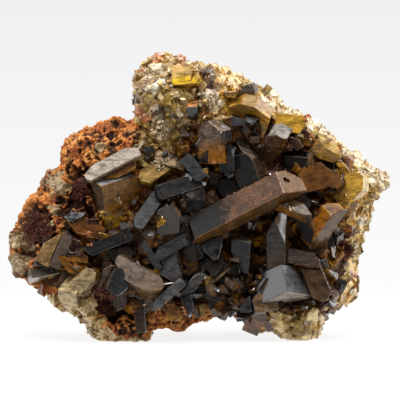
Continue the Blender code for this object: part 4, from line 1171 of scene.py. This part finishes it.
def scatter_details(looks):
    """Needles of goethite, rusty crumbs, yellow grains that partly stand in as painted golden
    glints, and white glints, each set where it shows, on whatever carries it there."""
    rng = random.Random(21)
    everything = surface_of(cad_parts)
    fibres, crumbs, yellow, white = Heap(), Heap(), Heap(), Heap()
    for heap, places, low, high in ((fibres, FIBRE_TUFTS, 1.0, 2.8),
                                    (crumbs, RUST_CRUMBS, 0.3, 0.8),
                                    (yellow, YELLOW_GRAINS_AND_GLINTS, 0.4, 1.0),
                                    (white, WHITE_GLINTS, 0.25, 0.7)):
        for across, down, reach, count in places:
            for _ in range(count):
                turn = rng.uniform(0.0, math.tau)
                away = reach * math.sqrt(rng.random())
                point, normal = rooted_place(everything, across + away * math.cos(turn),
                                             down + away * math.sin(turn))
                if point is None:
                    continue
                sway = Vector([rng.uniform(-1.0, 1.0) for _ in range(3)])
                size = rng.uniform(low, high) * MM
                if heap is fibres:
                    along = (normal * 0.5 + sway).normalized()
                    heap.add(FIBRE_SHAPE, point - along * 0.2 * size, along, 0.0,
                             (0.09 * size + 0.08 * MM, 0.06 * size + 0.06 * MM, size))
                else:
                    along = (normal + sway * 0.8).normalized()
                    heap.add(rng.choice(GRAIN_SHAPES), point - along * 0.4 * size, along, turn,
                             (0.8 * size, 0.6 * size, size))
    fibres.piece("goethite_fibres", rust_finish("goethite", (0.014, 0.004, 0.003),
                                                (0.21, 0.055, 0.022)), "limonite")
    crumbs.piece("rusty_crumbs", rust_finish("rusty_crumbs_finish", (0.16, 0.045, 0.012),
                                             (0.52, 0.20, 0.055)), "limonite")
    yellow.piece("yellow_grains_and_glints", looks["gold"], SLOTS["gold"])
    white.piece("white_glints", looks["sugar"], "pale_barite")


def coat_great_prism():
    """Fine rusty grains on the upper face of the great prism, most of them along its edges."""
    rng = random.Random(4)
    heap = Heap()
    upper = Vector((-0.5, -0.8, 0.3)).normalized()
    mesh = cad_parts["great_prism"].data
    rims = KDTree(len(mesh.edges) * 24)
    for edge in mesh.edges:
        first, second = (mesh.vertices[i].co for i in edge.vertices)
        if (first - second).length > 1.5 * MM:
            for step in range(24):
                rims.insert(first.lerp(second, step / 23), 0)
    rims.balance()
    for point, normal in scattered_points(rng, "great_prism", 5200):
        coated = point.x / MM + rng.uniform(-4.0, 4.0) > 6.5
        from_edge = rims.find(point)[2] / MM
        chance = 0.10 + 0.8 * math.exp(-from_edge * 3.0)
        if normal.dot(upper) < 0.55 or not coated or rng.random() > chance:
            continue
        size = rng.uniform(0.15, 0.42) * MM
        sway = Vector([rng.uniform(-1.0, 1.0) for _ in range(3)])
        heap.add(rng.choice(GRAIN_SHAPES), point - normal * 0.6 * size,
                 (normal + sway * 0.7).normalized(), rng.uniform(0.0, math.tau),
                 (size, size * 0.7, size * 0.8))
    heap.piece("rusty_prism_coat", rust_finish("rusty_prism_coat_finish", (0.07, 0.024, 0.008),
                                               (0.52, 0.21, 0.070)), "limonite")


def rust_finish(name, dark, light):
    """Earthy rust between two tones."""
    f = Finish(name)
    grain = f.noise(0.9, 4, 0.7)
    tone = f.mixed(grain.step(0.36, 0.62), dark, light)
    return f.done(f.shader(Base_Color=tone, Roughness=0.55 + grain * 0.3))


def scattered_points(rng, name, count):
    """Random places on a solid, each with the direction that the surface faces there."""
    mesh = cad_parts[name].data
    mesh.calc_loop_triangles()
    triangles = mesh.loop_triangles
    areas = [triangle.area for triangle in triangles]
    for triangle in rng.choices(triangles, areas, k=count):
        a, b, c = (mesh.vertices[i].co for i in triangle.vertices)
        first, second = sorted((rng.random(), rng.random()))
        yield a * first + b * (second - first) + c * (1.0 - second), Vector(triangle.normal)


def zone_at(point):
    """The kind of rim zone that a point lies in, if any."""
    across, down = place_in_view(point)
    for kind, circles in RIM_ZONES.items():
        for x, y, radius in circles:
            if math.hypot(across - x, down - y) < radius:
                return kind
    return None


def grow_rim_spar(looks):
    """Blocky spar crystals that make up the skin of the rim."""
    rng = random.Random(8)
    heaps = {look: Heap() for look in ("straw", "sugar", "gold", "honey", "rose")}
    # Sugar spar in the white zone also carries that painted highlight.
    look_of_zone = {"white": "sugar", "gold": "gold", "olive": "honey", "brown": "rose"}
    large = surface_of(SLOTS_OF_NODES)
    shares = {"crown_barite": 640, "top_barite": 300, "upper_rim_barite": 540,
              "right_rim_barite": 300, "right_base_barite": 280, "left_fringe_barite": 240}
    for name, count in shares.items():
        for point, normal in scattered_points(rng, name, count):
            zone = zone_at(point) if normal.y < 0.3 else None
            if point.z < 1.6 * MM or zone == "rust":
                continue
            sway = Vector([rng.uniform(-1.0, 1.0) for _ in range(3)])
            along = (normal + sway * 0.8).normalized()
            length = rng.uniform(1.0, 3.8) * MM
            width = length * rng.uniform(0.40, 0.85)
            thick = width * rng.uniform(0.4, 0.9)
            look = look_of_zone.get(zone) or rng.choice(("straw", "straw", "straw", "honey"))
            if zone != "white" and covers(large, point + along * 0.3 * length):
                continue
            heaps[look].add(rng.choice(GRAIN_SHAPES + CRYSTAL_SHAPES),
                            point - along * 0.70 * length, along, rng.uniform(0.0, math.tau),
                            (width, thick, length))
    for look, heap in heaps.items():
        heap.piece("rim_" + look + "_spar", looks[look], SLOTS[look])


# Stage


def make_stage():
    """A pale floor that fades into the pale surroundings."""
    bm = bmesh.new()
    bmesh.ops.create_circle(bm, cap_ends=True, segments=96, radius=0.6)
    mesh = bpy.data.meshes.new("pale_floor")
    bm.to_mesh(mesh)
    bm.free()
    floor = bpy.data.objects.new("pale_floor", mesh)
    bpy.context.scene.collection.objects.link(floor)
    f = Finish("pale_floor_finish")
    away = f.node("ShaderNodeVectorMath", {"operation": "LENGTH"}, {0: f.place}, "Value")
    speckle = f.noise(3.0, 2)
    surface = f.shader(Base_Color=f.mixed(speckle, (0.86, 0.86, 0.87), (0.90, 0.90, 0.90)),
                       Roughness=0.6, Alpha=(1.0 - away.step(45.0, 160.0)) * 0.15)
    mesh.materials.append(f.done(surface))


def make_surroundings():
    """Pale studio walls all round: white below, light grey behind, dimmer in front."""
    world = bpy.data.worlds.new("pale_studio")
    bpy.context.scene.world = world
    world.use_nodes = True
    s = Shading(world.node_tree)
    direction = s.node("ShaderNodeTexCoord")
    height = s.node("ShaderNodeSeparateXYZ", {}, {0: direction}, "Z")
    depth = s.node("ShaderNodeSeparateXYZ", {}, {0: direction}, "Y")
    walls = (height * 0.5 + 0.5).ramp((0.44, (1.0, 1.0, 1.0)), (0.50, (0.86, 0.86, 0.87)),
                                      (0.60, (0.78, 0.79, 0.81)), (0.85, (0.95, 0.97, 1.0)))
    front = depth.step(0.15, -0.45) * height.step(0.97, 0.70) * height.step(-0.80, -0.50)
    colour = s.mixed(front * 0.96, walls, (0.085, 0.080, 0.075))
    background = s.node("ShaderNodeBackground", {}, {"Color": colour})
    output = s.tree.nodes.new("ShaderNodeOutputWorld")
    s.tree.links.new(background.socket, output.inputs["Surface"])


def add_softbox(name, place, size, glow):
    """A soft rectangular lamp that looks at the middle of the cluster."""
    lamp = bpy.data.lights.new(name, "AREA")
    lamp.shape = "RECTANGLE"
    lamp.size, lamp.size_y = size
    lamp.energy = glow * math.pi * size[0] * size[1]
    softbox = bpy.data.objects.new(name, lamp)
    softbox.location = place
    softbox.rotation_euler = (LOOKED_AT - Vector(place)).to_track_quat("-Z", "Y").to_euler()
    bpy.context.scene.collection.objects.link(softbox)


def make_camera():
    data = bpy.data.cameras.new("front_camera")
    data.sensor_width = CAMERA_SENSOR
    data.lens = CAMERA_SENSOR * CAMERA_DISTANCE / FRONT_VIEW_WIDTH
    camera = bpy.data.objects.new("front_camera", data)
    eye, _ = sight_line(FRONT_VIEW_SIDE / 2, FRONT_VIEW_SIDE / 2)
    camera.location = eye
    camera.rotation_euler = (LOOKED_AT - eye).to_track_quat("-Z", "Y").to_euler()
    bpy.context.scene.collection.objects.link(camera)
    bpy.context.scene.camera = camera


def main():
    make_camera()
    make_stage()
    make_surroundings()
    add_softbox("back_softbox", (0.14, 0.28, 0.42), (0.30, 0.20), 7.0)
    add_softbox("top_softbox", (-0.06, -0.26, 0.55), (0.32, 0.26), 12.5)
    add_softbox("left_softbox", (-0.52, -0.10, 0.24), (0.36, 0.36), 2.6)
    add_softbox("right_softbox", (0.52, -0.02, 0.20), (0.40, 0.44), 4.4)
    bpy.context.scene.view_settings.view_transform = "Standard"
    looks = {look: crystal_finish("small_" + look, values) for look, values in LOOKS.items()}
    make_matrix()
    make_masses()
    grow_large_crystals()
    faced = grow_faced_crystals(looks)
    grow_small_crystals(looks, faced)
    grow_rim_spar(looks)
    scatter_details(looks)
    coat_great_prism()


main()
